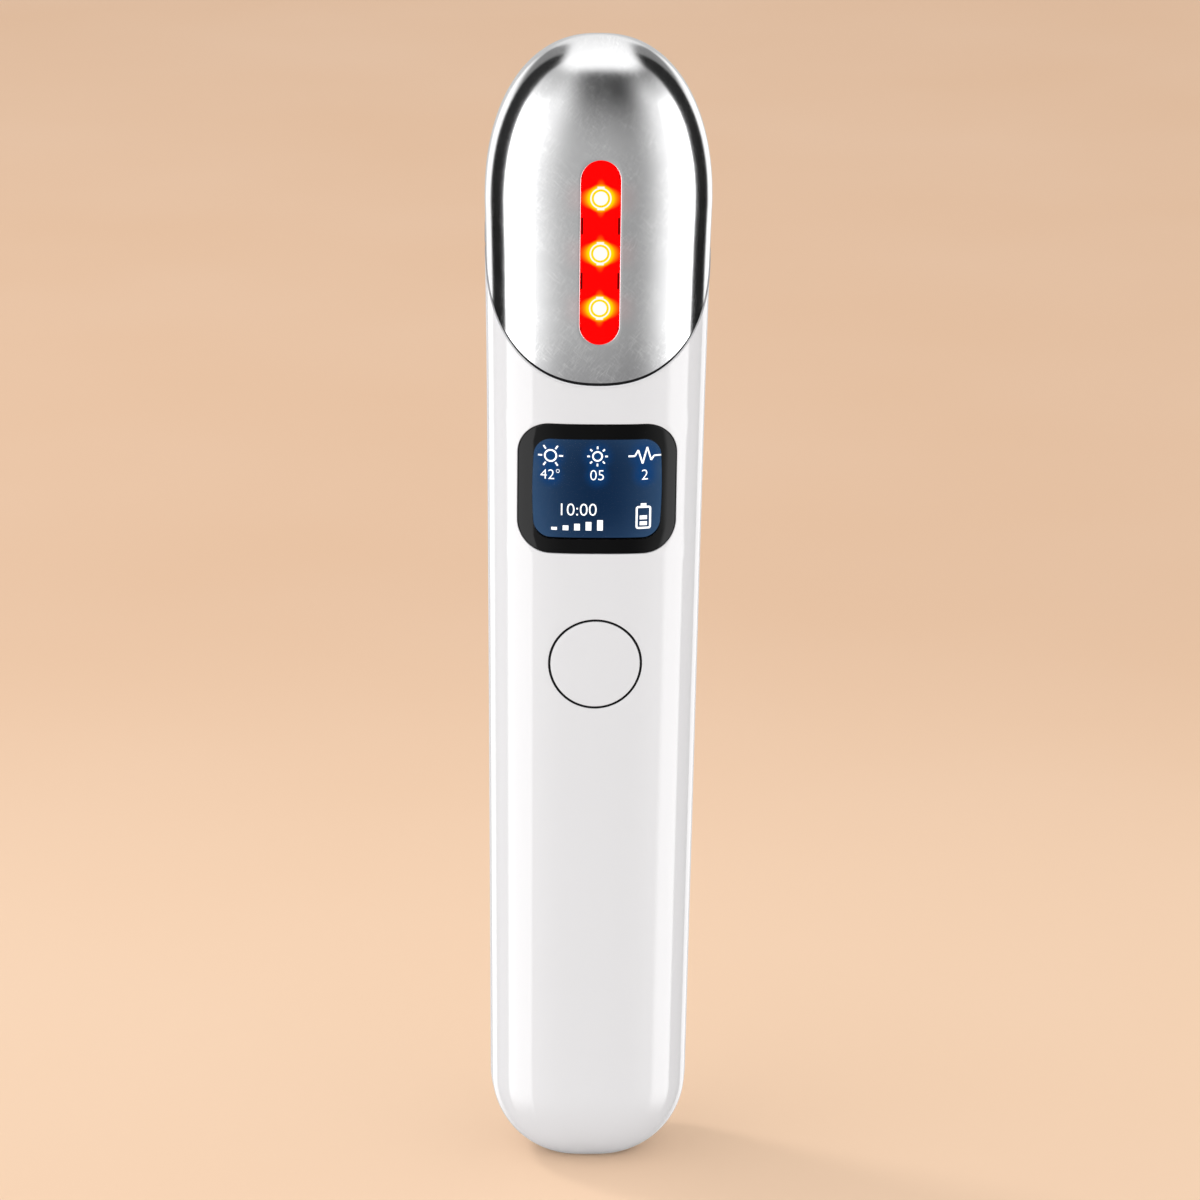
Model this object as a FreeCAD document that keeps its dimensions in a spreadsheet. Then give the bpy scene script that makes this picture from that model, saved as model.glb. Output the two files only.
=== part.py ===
import FreeCAD, Part
import math
import os
import re
import Sketcher

# Heated eye massager wand, millimetres.
# Origin: centre of the small flat that the wand stands on. +Z runs up the wand to the
# metal head, the display and the key face -Y, and +X points across the front.

doc = FreeCAD.newDocument("eye_massager_wand")
Vector = FreeCAD.Vector

# ------------------------------------------------------------------ driving sizes

SIZES = {
    # outer form
    "wall": 1.5,                  # plastic wall of the handle
    "head_wall": 1.0,             # drawn metal wall of the head
    "section_power": 2.8,         # superellipse power of every cross-section
    "foot_round_height": 11.65,   # height of the rounded foot before its flat is cut
    "foot_round_power": 2.0,      # fullness of the foot's rounding
    "foot_flat_cut": 1.2,         # slice taken off the foot to make the flat
    "width_growth": 1.05,         # steady widening of each side, foot to crown
    "depth_growth": 0.8,          # steady deepening of front and back, foot to crown
    "head_flare": 0.3,            # extra widening close to the crown
    "flare_power": 8.0,           # how late that extra widening comes
    "crown_height": 20.0,         # height of the domed crown
    "crown_power": 2.2,           # fullness of the crown's rounding
    # stack of parts up the handle
    "port_bay_height": 13.8,      # foot to battery cradle
    "cradle_to_board": 1.3,
    "board_to_key": 8.0,          # lower end of the board to the key's centre
    "key_to_display": 22.4,
    "display_to_joint": 12.75,    # display centre to the joint line at the front
    "joint_to_window": 16.6,      # joint line at the front to the light window's centre
    "window_to_crown": 24.55,     # light window's centre to the top
    # joint between handle and head
    "joint_angle": 47.5,          # slope of the joint, rising to the back
    "joint_arch": 38.5,           # radius that the joint is arched to, seen along its slope
    "gasket_thickness": 0.35,
    "gasket_recess": 0.08,        # how far the gasket's edge lies under the surface
    "spigot_depth": 3.0,          # head core reaching into the handle
    "core_fit": 0.15,             # clearance round the spigot
    "core_wall": 1.2,
    "bulkhead_thickness": 1.5,
    "stud_radius": 0.9,           # studs that lock the core between the two shells
    "stud_reach": 0.8,
    "stud_clearance": 0.1,
    # light window and its parts
    "slot_width": 4.8,
    "slot_length": 22.4,
    "window_fit": 0.05,
    "flange_width": 6.4,
    "flange_length": 24.0,
    "flange_thickness": 0.8,
    "reflector_width": 6.8,
    "reflector_length": 25.0,
    "reflector_depth": 2.2,
    "tooth_width": 0.5,
    "tooth_height": 1.9,
    "led_pitch": 6.7,
    "led_side": 2.8,
    "led_height": 1.0,
    "led_dome_radius": 1.15,
    "led_board_thickness": 0.8,
    "sleeve_wall": 1.0,           # wall of the core round the light parts
    "sleeve_fit": 0.1,
    # heater and its sensor
    "film_thickness": 0.25,
    "film_half_width": 9.0,
    "film_edge": 3.75,            # film's distance from the middle beside the window
    "film_below": 9.5,            # film below the window's centre
    "film_bridge": 1.4,           # bridge of film over the window
    "sensor_radius": 1.1,
    "sensor_thickness": 0.9,
    "sensor_fit": 0.15,
    "sensor_gap": 1.2,            # reflector's end to the sensor
    # vibration motor
    "motor_radius": 3.0,
    "motor_length": 12.0,
    "motor_setback": 2.0,         # motor axis behind the middle
    "motor_sunk": 9.0,            # motor below the bulkhead's lower face
    "sleeve_thickness": 0.4,
    "tube_wall": 1.15,
    "tube_floor": 1.2,
    "tube_rim": 0.4,
    "motor_fit": 0.05,
    "shaft_radius": 0.4,
    "shaft_depth": 3.0,           # shaft inside the motor
    "weight_radius": 2.8,
    "weight_height": 4.0,
    "weight_lift": 0.8,
    # display
    "lens_width": 19.3,
    "lens_height": 16.3,
    "lens_corner": 3.9,
    "lens_fit": 0.05,
    "lens_edge": 0.7,             # lens thickness at its outer edges
    "adhesive_thickness": 0.15,
    "module_width": 17.0,
    "module_height": 14.0,
    "module_thickness": 1.8,
    "module_corner": 0.6,
    "module_fit": 0.1,
    "frame_bar": 1.6,             # bar of the shell above and below the lens
    "frame_depth": 0.75,          # bar's thickness behind the adhesive
    # key and switch
    "key_radius": 5.5,
    "key_gap": 0.3,               # ring shaped gap round the key
    "key_flange_radius": 6.7,
    "key_flange_thickness": 0.8,
    "key_stop_gap": 0.05,
    "key_stem_radius": 1.7,
    "key_travel": 0.4,
    "collar_width": 0.8,          # collar beyond the key's flange
    "switch_side": 6.0,
    "switch_height": 1.5,
    "switch_chamfer": 0.4,
    "plunger_radius": 1.7,
    "plunger_proud": 0.5,
    "plunger_length": 1.3,
    "plunger_fit": 0.05,
    "stem_gap": 0.02,
    # main board
    "board_gap": 1.95,            # display module to main board
    "board_width": 18.0,
    "board_thickness": 1.0,
    "board_corner": 1.2,
    "board_above_screw": 5.2,
    "board_below_screw": 1.5,
    "socket_depth": 1.2,
    "socket_height": 2.8,
    "socket_width": 7.0,
    "head_socket_width": 6.0,
    "socket_edge": 0.4,
    "ribbon_width": 4.0,
    "ribbon_thickness": 0.15,
    "chip_height": 0.8,
    "processor_side": 5.0,
    "processor_rise": 16.0,       # chips' heights above the key's centre
    "driver_rise": 8.5,
    "driver_length": 4.0,
    "driver_width": 3.0,
    "coil_side": 6.0,
    "coil_height": 4.5,
    "coil_rise": 24.0,
    # screws
    "screw_spacing": 14.8,
    "screw_radius": 0.78,
    "screw_length": 3.2,
    "screw_head_radius": 1.3,
    "screw_head_height": 0.9,
    "screw_recess": 0.5,
    "pilot_fit": 0.02,
    "boss_radius": 1.6,
    "boss_gap": 0.2,              # upper bosses to the display module
    # battery
    "battery_diameter": 14.0,
    "battery_length": 43.0,
    "battery_setback": 0.8,       # battery axis behind the middle
    "battery_play": 0.1,
    "battery_button": 0.6,
    "pad_thickness": 0.5,
    "pad_width": 4.0,
    "pad_length": 30.0,
    "cradle_side": 1.3,
    "cradle_end": 1.2,
    "cradle_window": 5.0,
    "cradle_lip": 0.2,            # cradle's edge in front of the parting plane
    "lead_channel": 2.65,         # room for the charging leads beside the cradle
    "lead_radius": 0.45,
    "lead_gap": 0.53,             # charging lead to cradle
    "lead_start": 4.6,            # straight start of the battery's leads
    "lead_run": 4.0,              # steps of a lead from one turn to the next
    "lead_turn_in": 3.0,          # charging leads turning in above the cradle
    "motor_lead_start": 3.6,
    "contact_lead_run": 3.0,
    # charging port
    "port_width": 8.94,
    "port_height": 3.26,
    "port_depth": 7.3,
    "port_corner": 1.4,
    "port_recess": 0.5,
    "port_sheet": 0.3,
    "port_fit": 0.18,
    "tongue_width": 6.69,
    "tongue_thickness": 0.7,
    "tongue_recess": 1.1,
    "port_board_width": 12.0,
    "port_board_thickness": 0.8,
    "port_board_foot": 3.4,
    "port_board_drop": 0.6,       # board's upper edge below the cradle
    "port_board_front": 0.27,     # board in front of the port's shell
    "port_board_slit": 0.05,
    "port_screw_spacing": 9.2,
    "port_post_radius": 1.25,
    "pad_inset": 2.9,             # port's side to the pad of its lead
    "pad_drop": 2.4,              # port board's upper edge to that pad
    "lead_turn_drop": 1.05,       # port board's upper edge to the lead's turn outwards
    "lead_slant": 1.7,            # width of the lead's slant into its channel
    # rails that locate the rear shell
    "rail_thickness": 0.6,
    "rail_reach": 1.2,
    "rail_root": 2.5,
    # hand contact
    "contact_width": 8.0,
    "contact_length": 50.0,
    "contact_rise": 12.5,         # contact's top above the key's centre
    "contact_thickness": 0.6,
    "contact_fit": 0.05,
    "post_radius": 1.2,
    "post_drop": 5.0,             # post below the contact's top
    "post_length": 3.6,
    # closeness of things that rest on each other
    "seat": 0.05,
}

# ------------------------------------------------------------------ sizes that follow


def share(height):
    """Share of the straight body, foot to crown, that lies below a height."""
    return f"((({height}) - foot_top) / straight_height)"


def half_depth(height):
    """Half of the depth of the straight body at a height."""
    return f"(base_half_depth + depth_growth * {share(height)})"


def half_width(height):
    """Half of the width of the straight body at a height."""
    part = share(height)
    return f"(base_half_width + width_growth * {part} + head_flare * {part} ^ flare_power)"


def depth_at(height, aside, inset="0"):
    """Depth of the straight body's surface at a height and a distance from the middle."""
    across = f"(({aside}) / ({half_width(height)} - {inset}))"
    return f"(({half_depth(height)} - {inset}) * (1 - {across} ^ section_power) ^ (1 / section_power))"


def crown_depth(height, inset):
    """Depth of the crown's surface in the middle plane."""
    rise = f"((({height}) - crown_foot) / (crown_height - {inset}))"
    return f"((head_half_depth - {inset}) * (1 - {rise} ^ crown_power) ^ (1 / crown_power))"


def joint_height(behind):
    """Height of the joint plane at a distance behind the middle."""
    return f"(joint_front + joint_rise * (({behind}) + head_half_depth))"


FITS = {
    # the shell's size follows from the battery that it holds
    "battery_radius": "battery_diameter / 2",
    "base_half_depth": "battery_setback + battery_radius + pad_thickness + wall",
    "base_half_width": "battery_radius + cradle_side + lead_channel + wall",
    "head_half_depth": "base_half_depth + depth_growth",
    # heights
    "battery_foot": "port_bay_height + cradle_end + battery_play",
    "battery_top": "battery_foot + battery_length",
    "cradle_top": "battery_top + battery_play + cradle_end",
    "board_foot": "cradle_top + cradle_to_board",
    "key_centre": "board_foot + board_to_key",
    "display_centre": "key_centre + key_to_display",
    "joint_front": "display_centre + display_to_joint",
    "window_centre": "joint_front + joint_to_window",
    "total_height": "window_centre + window_to_crown",
    "foot_top": "foot_round_height - foot_flat_cut",
    "crown_foot": "total_height - crown_height",
    "straight_height": "crown_foot - foot_top",
    "joint_rise": "tan(joint_angle * 1deg)",
    # planes from front to back, all behind the middle, so in front is negative
    "lens_back": f"lens_edge - {depth_at('display_centre', 'lens_width / 2')}",
    "ledge": "lens_back + adhesive_thickness",
    "frame_back": "ledge + frame_depth",
    "module_front": "lens_back + seat",
    "module_back": "module_front + module_thickness",
    "board_front": "module_back + board_gap",
    "board_back": "board_front + board_thickness",
    "collar_radius": "key_flange_radius + collar_width",
    "collar_back": f"seat - {depth_at('key_centre', 'collar_radius', 'wall')}",
    "flange_front": "collar_back + key_stop_gap",
    "flange_back": "flange_front + key_flange_thickness",
    "switch_front": "board_front - switch_height",
    "plunger_front": "switch_front - plunger_proud",
    "core_inset": "wall + core_fit",
    "core_inner_inset": "core_inset + core_wall",
    "film_inset": "head_wall + film_thickness",
    "window_back": "head_wall + flange_thickness - head_half_depth",
    "reflector_back": "window_back + reflector_depth",
    "led_board_back": "reflector_back + led_board_thickness",
    # screw places
    "lower_screw": "board_foot + board_below_screw",
    "upper_screw": "display_centre + module_height / 2 + boss_radius + boss_gap",
    "board_top": "upper_screw + board_above_screw",
    "pilot_radius": "screw_radius + pilot_fit",
    # motor
    "motor_foot": f"{joint_height('motor_setback')} - motor_sunk",
    "motor_top": "motor_foot + motor_length",
    "motor_bore": "motor_radius + sleeve_thickness + motor_fit",
    "weight_foot": "motor_top + weight_lift",
    "weight_top": "weight_foot + weight_height",
    # port
    "port_top": "port_recess + port_depth",
    "port_board_face": "-(port_height / 2 + port_board_front)",
    "port_board_back": "port_board_face + port_board_thickness",
    "port_board_top": "port_bay_height - port_board_drop",
    "port_screw": "port_top + port_board_slit + port_post_radius + seat",
    "lead_plane": "port_board_face - lead_radius - seat",
    "lead_channel_middle": "battery_radius + cradle_side + lead_gap + lead_radius",
    # hand contact
    "contact_top": "key_centre + contact_rise",
    "post_height": "contact_top - post_drop",
    # heater sensor
    "sensor_height": "window_centre + reflector_length / 2 + sensor_gap + sensor_radius",
}


def fill_sheet(name, cells):
    """A sheet with a name, a value and an alias on each row."""
    sheet = doc.addObject("Spreadsheet::Sheet", name)
    for row, (alias, content) in enumerate(cells, start=1):
        sheet.set(f"A{row}", alias)
        sheet.set(f"B{row}", content)
        sheet.setAlias(f"B{row}", alias)
    return sheet


def full(formula):
    """Give every size in a formula the name of the sheet that holds it."""
    def with_sheet(match):
        word = match.group(0)
        if word in SIZES:
            return "Sizes." + word
        if word in FITS:
            return "Fits." + word
        return word
    return re.sub(r"[a-z_]+", with_sheet, formula)


sizes = fill_sheet("Sizes", [(alias, str(number)) for alias, number in SIZES.items()])
fits = fill_sheet("Fits", [(alias, "=" + full(formula)) for alias, formula in FITS.items()])
doc.recompute()


def value(formula):
    """Number that a formula on the sheets gives."""
    return float(fits.evalExpression(full(formula)))


# ------------------------------------------------------------------ building helpers

nodes = []


def node(item, label):
    """Count an object as a sub-part of its own, under the name of its node."""
    item.Label = label
    nodes.append(item)
    return item


def bind(item, **formulas):
    """Tie properties of an object to the sheets."""
    for name, formula in formulas.items():
        item.setExpression(name.replace("__", "."), full(formula))


def shift(item, x="0", y="0", z="0"):
    """Tie the place of an object to the sheets."""
    bind(item, Placement__Base__x=x, Placement__Base__y=y, Placement__Base__z=z)


def block(name, x, y, z):
    """Box between two limits on each axis."""
    item = doc.addObject("Part::Box", name)
    for side, (low, high) in (("Length", x), ("Width", y), ("Height", z)):
        bind(item, **{side: f"({high}) - ({low})"})
    shift(item, x[0], y[0], z[0])
    return item


def rod(name, radius, axis, low, high, centre=("0", "0")):
    """Cylinder along an axis; centre gives its place on the other two axes, in X, Y, Z order."""
    item = doc.addObject("Part::Cylinder", name)
    bind(item, Radius=radius, Height=f"({high}) - ({low})")
    turns = {"x": (Vector(0, 1, 0), 90), "y": (Vector(1, 0, 0), -90), "z": (Vector(0, 0, 1), 0)}
    item.Placement = FreeCAD.Placement(Vector(), FreeCAD.Rotation(*turns[axis]))
    places = list(centre)
    places.insert("xyz".index(axis), low)
    shift(item, *places)
    return item


def cut(name, base, tool):
    """What is left of base when tool is taken away."""
    item = doc.addObject("Part::Cut", name)
    item.Base = base
    item.Tool = tool
    return item


def common(name, base, tool):
    """What base and tool share."""
    item = doc.addObject("Part::Common", name)
    item.Base = base
    item.Tool = tool
    return item


def fuse(name, *pieces):
    """Pieces joined into one shape."""
    item = doc.addObject("Part::MultiFuse", name)
    item.Shapes = list(pieces)
    return item


def group(name, *pieces):
    """Separate solids kept as one object."""
    item = doc.addObject("Part::Compound", name)
    item.Links = list(pieces)
    return item


def plane_of(body, role):
    """One of a body's own origin planes."""
    return next(plane for plane in body.Origin.OriginFeatures if plane.Role == role)


# Distance of a sketch from its plane, from a place on the plane's axis: the XZ plane looks at -Y.
PLANES = {"XY": "{low}", "YZ": "{low}", "XZ": "-({high})"}


def sketch_on(body, plane, low="0", high="0", origin=("0", "0")):
    """Sketch on an origin plane of a body, moved along the plane's axis."""
    sketch = body.newObject("Sketcher::SketchObject", body.Name + "Sketch")
    sketch.AttachmentSupport = [(plane_of(body, plane + "_Plane"), "")]
    sketch.MapMode = "FlatFace"
    offset = PLANES[plane].format(low=low, high=high)
    bind(sketch, AttachmentOffset__Base__x=origin[0], AttachmentOffset__Base__y=origin[1],
         AttachmentOffset__Base__z=offset)
    return sketch


def tie(sketch, constraint, formula):
    """Add a driving constraint and tie it to the sheets."""
    index = sketch.addConstraint(Sketcher.Constraint(*constraint, value(formula)))
    sketch.setExpression(f"Constraints[{index}]", full(formula))


ROOT = (-1, 1)


def outline(sketch, *corners):
    """Closed outline of straight lines through corners, each tied to the sketch's origin."""
    first = sketch.GeometryCount
    count = len(corners)
    points = [Vector(value(x), value(y), 0) for x, y in corners]
    for index in range(count):
        sketch.addGeometry(Part.LineSegment(points[index], points[(index + 1) % count]))
    for index, (x, y) in enumerate(corners):
        line = first + index
        sketch.addConstraint(Sketcher.Constraint("Coincident", first + (index - 1) % count, 2, line, 1))
        tie(sketch, ("DistanceX", *ROOT, line, 1), x)
        tie(sketch, ("DistanceY", *ROOT, line, 1), y)


def rectangle(sketch, x, y):
    """Rectangle between two limits on each axis."""
    outline(sketch, (x[0], y[0]), (x[1], y[0]), (x[1], y[1]), (x[0], y[1]))


def circle(sketch, radius, centre=("0", "0")):
    """Circle tied to the sketch's origin."""
    place = Vector(value(centre[0]), value(centre[1]), 0)
    index = sketch.addGeometry(Part.Circle(place, Vector(0, 0, 1), value(radius)))
    tie(sketch, ("Radius", index), radius)
    tie(sketch, ("DistanceX", *ROOT, index, 3), centre[0])
    tie(sketch, ("DistanceY", *ROOT, index, 3), centre[1])


def rounded(sketch, width, height, corner, centre="0"):
    """Rectangle with rounded corners, centred across the sketch and at a height on it."""
    right = value(width) / 2 - value(corner)
    up = value(height) / 2 - value(corner)
    middle = value(centre)
    radius = value(corner)
    quarter = math.pi / 2
    places = [(right, up), (-right, up), (-right, -up), (right, -up)]
    arcs = []
    for turn, (x, y) in enumerate(places):
        ring = Part.Circle(Vector(x, middle + y, 0), Vector(0, 0, 1), radius)
        arcs.append(sketch.addGeometry(Part.ArcOfCircle(ring, turn * quarter, (turn + 1) * quarter)))
    for turn in range(4):
        here = sketch.getPoint(arcs[turn], 2)
        there = sketch.getPoint(arcs[(turn + 1) % 4], 1)
        line = sketch.addGeometry(Part.LineSegment(here, there))
        sketch.addConstraint(Sketcher.Constraint("Tangent", arcs[turn], 2, line, 1))
        sketch.addConstraint(Sketcher.Constraint("Tangent", line, 2, arcs[(turn + 1) % 4], 1))
    for arc, (x, y) in zip(arcs, places):
        side = "-" if x < 0 else "+"
        rise = "-" if y < 0 else "+"
        tie(sketch, ("DistanceX", *ROOT, arc, 3), f"0 {side} (({width}) / 2 - ({corner}))")
        tie(sketch, ("DistanceY", *ROOT, arc, 3), f"({centre}) {rise} (({height}) / 2 - ({corner}))")
    tie(sketch, ("Radius", arcs[0]), corner)


def pad(body, sketch, length):
    """Pad a sketch along the normal of its plane."""
    item = body.newObject("PartDesign::Pad", body.Name + "Pad")
    item.Profile = sketch
    bind(item, Length=length)
    return item


def pocket(body, sketch, length, reverse=False):
    """Pocket a sketch into the body; doc.recompute() first lets the volumes be compared."""
    doc.recompute()
    before = body.Shape.Volume
    item = body.newObject("PartDesign::Pocket", body.Name + "Pocket")
    item.Profile = sketch
    item.Reversed = reverse
    bind(item, Length=length)
    doc.recompute()
    if not body.Shape.Volume < before:
        raise RuntimeError(f"{item.Name} cuts nothing")
    return item


def prism(name, plane, low, high, draw):
    """Body that pads a drawn outline from low to high along the plane's axis."""
    body = doc.addObject("PartDesign::Body", name)
    sketch = sketch_on(body, plane, low, high)
    draw(sketch)
    pad(body, sketch, f"({high}) - ({low})")
    return body


def turned(name, plane, corners, origin=("0", "0"), low="0"):
    """Body turned from an outline about the upright axis of a sketch."""
    body = doc.addObject("PartDesign::Body", name)
    sketch = sketch_on(body, plane, low=low, high=low, origin=origin)
    outline(sketch, *corners)
    item = body.newObject("PartDesign::Revolution", name + "Revolution")
    item.Profile = sketch
    item.ReferenceAxis = (sketch, ["V_Axis"])
    item.Angle = 360
    return body


PARALLEL = 1 - 1e-6


def dress(body, kind, size, axis):
    """Fillet or chamfer the edges of a body that run along an axis."""
    doc.recompute()
    tip = body.Tip
    names = []
    for index, edge in enumerate(tip.Shape.Edges, start=1):
        if abs(getattr(edge.tangentAt(edge.FirstParameter), axis)) > PARALLEL:
            names.append(f"Edge{index}")
    item = body.newObject("PartDesign::" + kind, body.Name + kind)
    item.Base = (tip, names)
    bind(item, **{"Radius" if kind == "Fillet" else "Size": size})
    return item


def mirrored(name, source):
    """Copy of an object on the other side of the middle plane X = 0."""
    item = doc.addObject("Part::Mirroring", name)
    item.Source = source
    item.Normal = Vector(1, 0, 0)
    return item


# ------------------------------------------------------------------ outer form

LOOP_POINTS = 24
FOOT_STEPS = 5
BODY_STEPS = 8
CROWN_STEPS = 7


def loop(across, deep, height):
    """Closed superellipse curve at a height."""
    power = value("section_power")
    points = []
    for index in range(LOOP_POINTS):
        angle = 2 * math.pi * index / LOOP_POINTS
        x, y = math.cos(angle), math.sin(angle)
        reach = (abs(x) ** power + abs(y) ** power) ** (-1 / power)
        points.append(Vector(across * reach * x, deep * reach * y, height))
    curve = Part.BSplineCurve()
    curve.interpolate(Points=points, PeriodicFlag=True)
    return Part.Wire([curve.toShape()])


def form(name, inset):
    """Solid outer form of the wand, drawn in by an inset all round."""
    gap = value(inset)
    foot_top = value("foot_top")
    straight = value("straight_height")
    foot_round = value("foot_round_height") - gap
    crown_round = value("crown_height") - gap
    foot_power = value("foot_round_power")
    crown_power = value("crown_power")

    def halves(height):
        part = (height - foot_top) / straight
        across = value("base_half_width") + value("width_growth") * part
        across += value("head_flare") * part ** value("flare_power")
        deep = value("base_half_depth") + value("depth_growth") * part
        return across - gap, deep - gap

    loops = []
    across, deep = halves(foot_top)
    lowest = (foot_top - gap) / foot_round
    for step in range(FOOT_STEPS):
        drop = lowest * (1 - step / FOOT_STEPS)
        shrink = (1 - drop ** foot_power) ** (1 / foot_power)
        loops.append(loop(across * shrink, deep * shrink, foot_top - foot_round * drop))
    for step in range(BODY_STEPS):
        part = (1 - math.cos(math.pi * step / (BODY_STEPS - 1))) / 2
        height = foot_top + straight * part
        loops.append(loop(*halves(height), height))
    across, deep = halves(foot_top + straight)
    for step in range(1, CROWN_STEPS):
        rise = math.sin(math.pi / 2 * step / CROWN_STEPS)
        shrink = (1 - rise ** crown_power) ** (1 / crown_power)
        loops.append(loop(across * shrink, deep * shrink, foot_top + straight + crown_round * rise))
    loops.append(Part.Vertex(0, 0, foot_top + straight + crown_round))
    item = doc.addObject("Part::Feature", name)
    item.Shape = Part.makeLoft(loops, True, False)
    return item


outer_form = form("OuterForm", "0")
handle_inner_form = form("HandleInnerForm", "wall")
head_inner_form = form("HeadInnerForm", "head_wall")
core_form = form("CoreForm", "core_inset")
core_inner_form = form("CoreInnerForm", "core_inner_inset")

# A block a good deal larger than the wand, for cutting it at a plane.
BEYOND = "(total_height + base_half_width)"


def above_joint(name, lift):
    """Everything above the slanting joint plane, lifted along the plane's normal."""
    item = doc.addObject("Part::Box", name)
    bind(item, Length=f"2 * {BEYOND}", Width=f"2 * {BEYOND}", Height=BEYOND)
    item.Placement = FreeCAD.Placement(Vector(), FreeCAD.Rotation(Vector(1, 0, 0), value("joint_angle")))
    bind(item, Placement__Rotation__Angle="joint_angle")
    sine = "sin(joint_angle * 1deg)"
    cosine = "cos(joint_angle * 1deg)"
    shift(item, f"-{BEYOND}",
          f"-head_half_depth - {BEYOND} * {cosine} - ({lift}) * {sine}",
          f"joint_front - {BEYOND} * {sine} + ({lift}) * {cosine}")
    return item


def above_arch(name, lift):
    """Everything above the arched joint, lifted: a thick rod lying along the slope."""
    item = doc.addObject("Part::Cylinder", name)
    bind(item, Radius=f"joint_arch - ({lift})", Height=f"2 * {BEYOND}")
    item.Placement = FreeCAD.Placement(Vector(), FreeCAD.Rotation(Vector(-1, 0, 0), 90 - value("joint_angle")))
    bind(item, Placement__Rotation__Angle="90 - joint_angle")
    sine = "sin(joint_angle * 1deg)"
    cosine = "cos(joint_angle * 1deg)"
    shift(item, "0",
          f"-head_half_depth - {BEYOND} * {cosine} - joint_arch * {sine}",
          f"joint_front - {BEYOND} * {sine} + joint_arch * {cosine}")
    return item


def slot_bar(name, width, length, centre, y):
    """Long bar with round ends, lying across the front-to-back axis."""
    half = f"({length}) / 2 - ({width}) / 2"
    middle = block(name + "Middle", (f"-({width}) / 2", f"({width}) / 2"), y,
                   (f"({centre}) - ({half})", f"({centre}) + ({half})"))
    low_end = rod(name + "LowEnd", f"({width}) / 2", "y", *y, centre=("0", f"({centre}) - ({half})"))
    high_end = rod(name + "HighEnd", f"({width}) / 2", "y", *y, centre=("0", f"({centre}) + ({half})"))
    return fuse(name, middle, low_end, high_end)


IN_FRONT = "-2 * head_half_depth"
FRONT = (IN_FRONT, "0")
REAR = ("0", "2 * head_half_depth")
front_half = block("FrontHalf", (f"-{BEYOND}", BEYOND), (f"-{BEYOND}", "0"), (f"-{BEYOND}", f"2 * {BEYOND}"))
head_side = above_arch("HeadSide", "0")
head_zone = above_arch("HeadZone", "gasket_thickness")

# ------------------------------------------------------------------ tools shared by both shells


def port_bar(name, fit, low, high):
    """Upright bar with the rounded outline of the charging port."""
    return prism(name, "XY", low, high, lambda sketch: rounded(
        sketch, f"port_width + 2 * ({fit})", f"port_height + 2 * ({fit})", f"port_corner + ({fit})"))


port_mouth = port_bar("PortMouth", "port_fit", "-wall", "2 * wall")
stud_height = joint_height("0") + " - spigot_depth / cos(joint_angle * 1deg) / 2"
stud_end = f"({half_width(stud_height)} - wall + stud_reach)"
stud_holes = rod("StudHoles", "stud_radius + stud_clearance", "x", f"-{stud_end} - stud_clearance",
                 f"{stud_end} + stud_clearance", centre=("0", stud_height))
handle_solid = cut("HandleSolid", outer_form, head_side)
handle_shell = cut("HandleShell", handle_solid, handle_inner_form)
handle_open = cut("HandleOpen", handle_shell, fuse("HandleTools", port_mouth, stud_holes))

# ------------------------------------------------------------------ front shell


def corner_screws():
    """Places of the four screws of the main board, as side and height."""
    return [(side, height) for height in ("lower_screw", "upper_screw") for side in (-1, 1)]


def front_shell():
    """Front half of the handle, with the display frame, the key's collar and the screw bosses."""
    deep = "-head_half_depth"
    frame_half = "(lens_height / 2 + frame_bar)"
    frame = block("DisplayFrame", ("-lens_width / 2", "lens_width / 2"), (deep, "frame_back"),
                  (f"display_centre - {frame_half}", f"display_centre + {frame_half}"))
    collar = rod("KeyCollar", "collar_radius", "y", deep, "collar_back", centre=("0", "key_centre"))
    bosses = []
    pilots = []
    for index, (side, height) in enumerate(corner_screws()):
        place = (f"{side} * screw_spacing / 2", height)
        bosses.append(rod(f"BoardBoss{index}", "boss_radius", "y", deep, "board_front", centre=place))
        pilots.append(rod(f"BoardPilot{index}", "pilot_radius", "y", "board_back - screw_length - seat",
                          "board_front + seat", centre=place))
    for index, side in enumerate((-1, 1)):
        place = (f"{side} * port_screw_spacing / 2", "port_screw")
        bosses.append(rod(f"PortPost{index}", "port_post_radius", "y", deep, "port_board_face", centre=place))
        pilots.append(rod(f"PortPilot{index}", "pilot_radius", "y", "port_board_back - screw_length - seat",
                          "port_board_face + seat", centre=place))
    inside = common("FrontInside", fuse("FrontFeatures", frame, collar, *bosses), outer_form)
    lens_hole = prism("LensHole", "XZ", "2 * " + deep, "ledge", lambda sketch: rounded(
        sketch, "lens_width + 2 * lens_fit", "lens_height + 2 * lens_fit", "lens_corner + lens_fit",
        "display_centre"))
    module_hole = prism("ModuleHole", "XZ", "ledge - seat", "0", lambda sketch: rounded(
        sketch, "module_width + 2 * module_fit", "module_height + 2 * module_fit",
        "module_corner + module_fit", "display_centre"))
    key_hole = rod("KeyHole", "key_radius + key_gap", "y", "2 * " + deep, "0", centre=("0", "key_centre"))
    half = common("FrontShellHalf", handle_open, front_half)
    whole = fuse("FrontShellWhole", half, inside)
    return cut("FrontShell", whole, fuse("FrontTools", lens_hole, module_hole, key_hole, *pilots))


front = node(front_shell(), "front_shell")

# ------------------------------------------------------------------ rear shell


def contact_bar(name, fit):
    """Long bar with the outline of the hand contact, on the back."""
    return slot_bar(name, f"contact_width + 2 * ({fit})", f"contact_length + 2 * ({fit})",
                    "contact_top - contact_length / 2", REAR)


contact_form = form("ContactForm", "contact_thickness")


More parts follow.
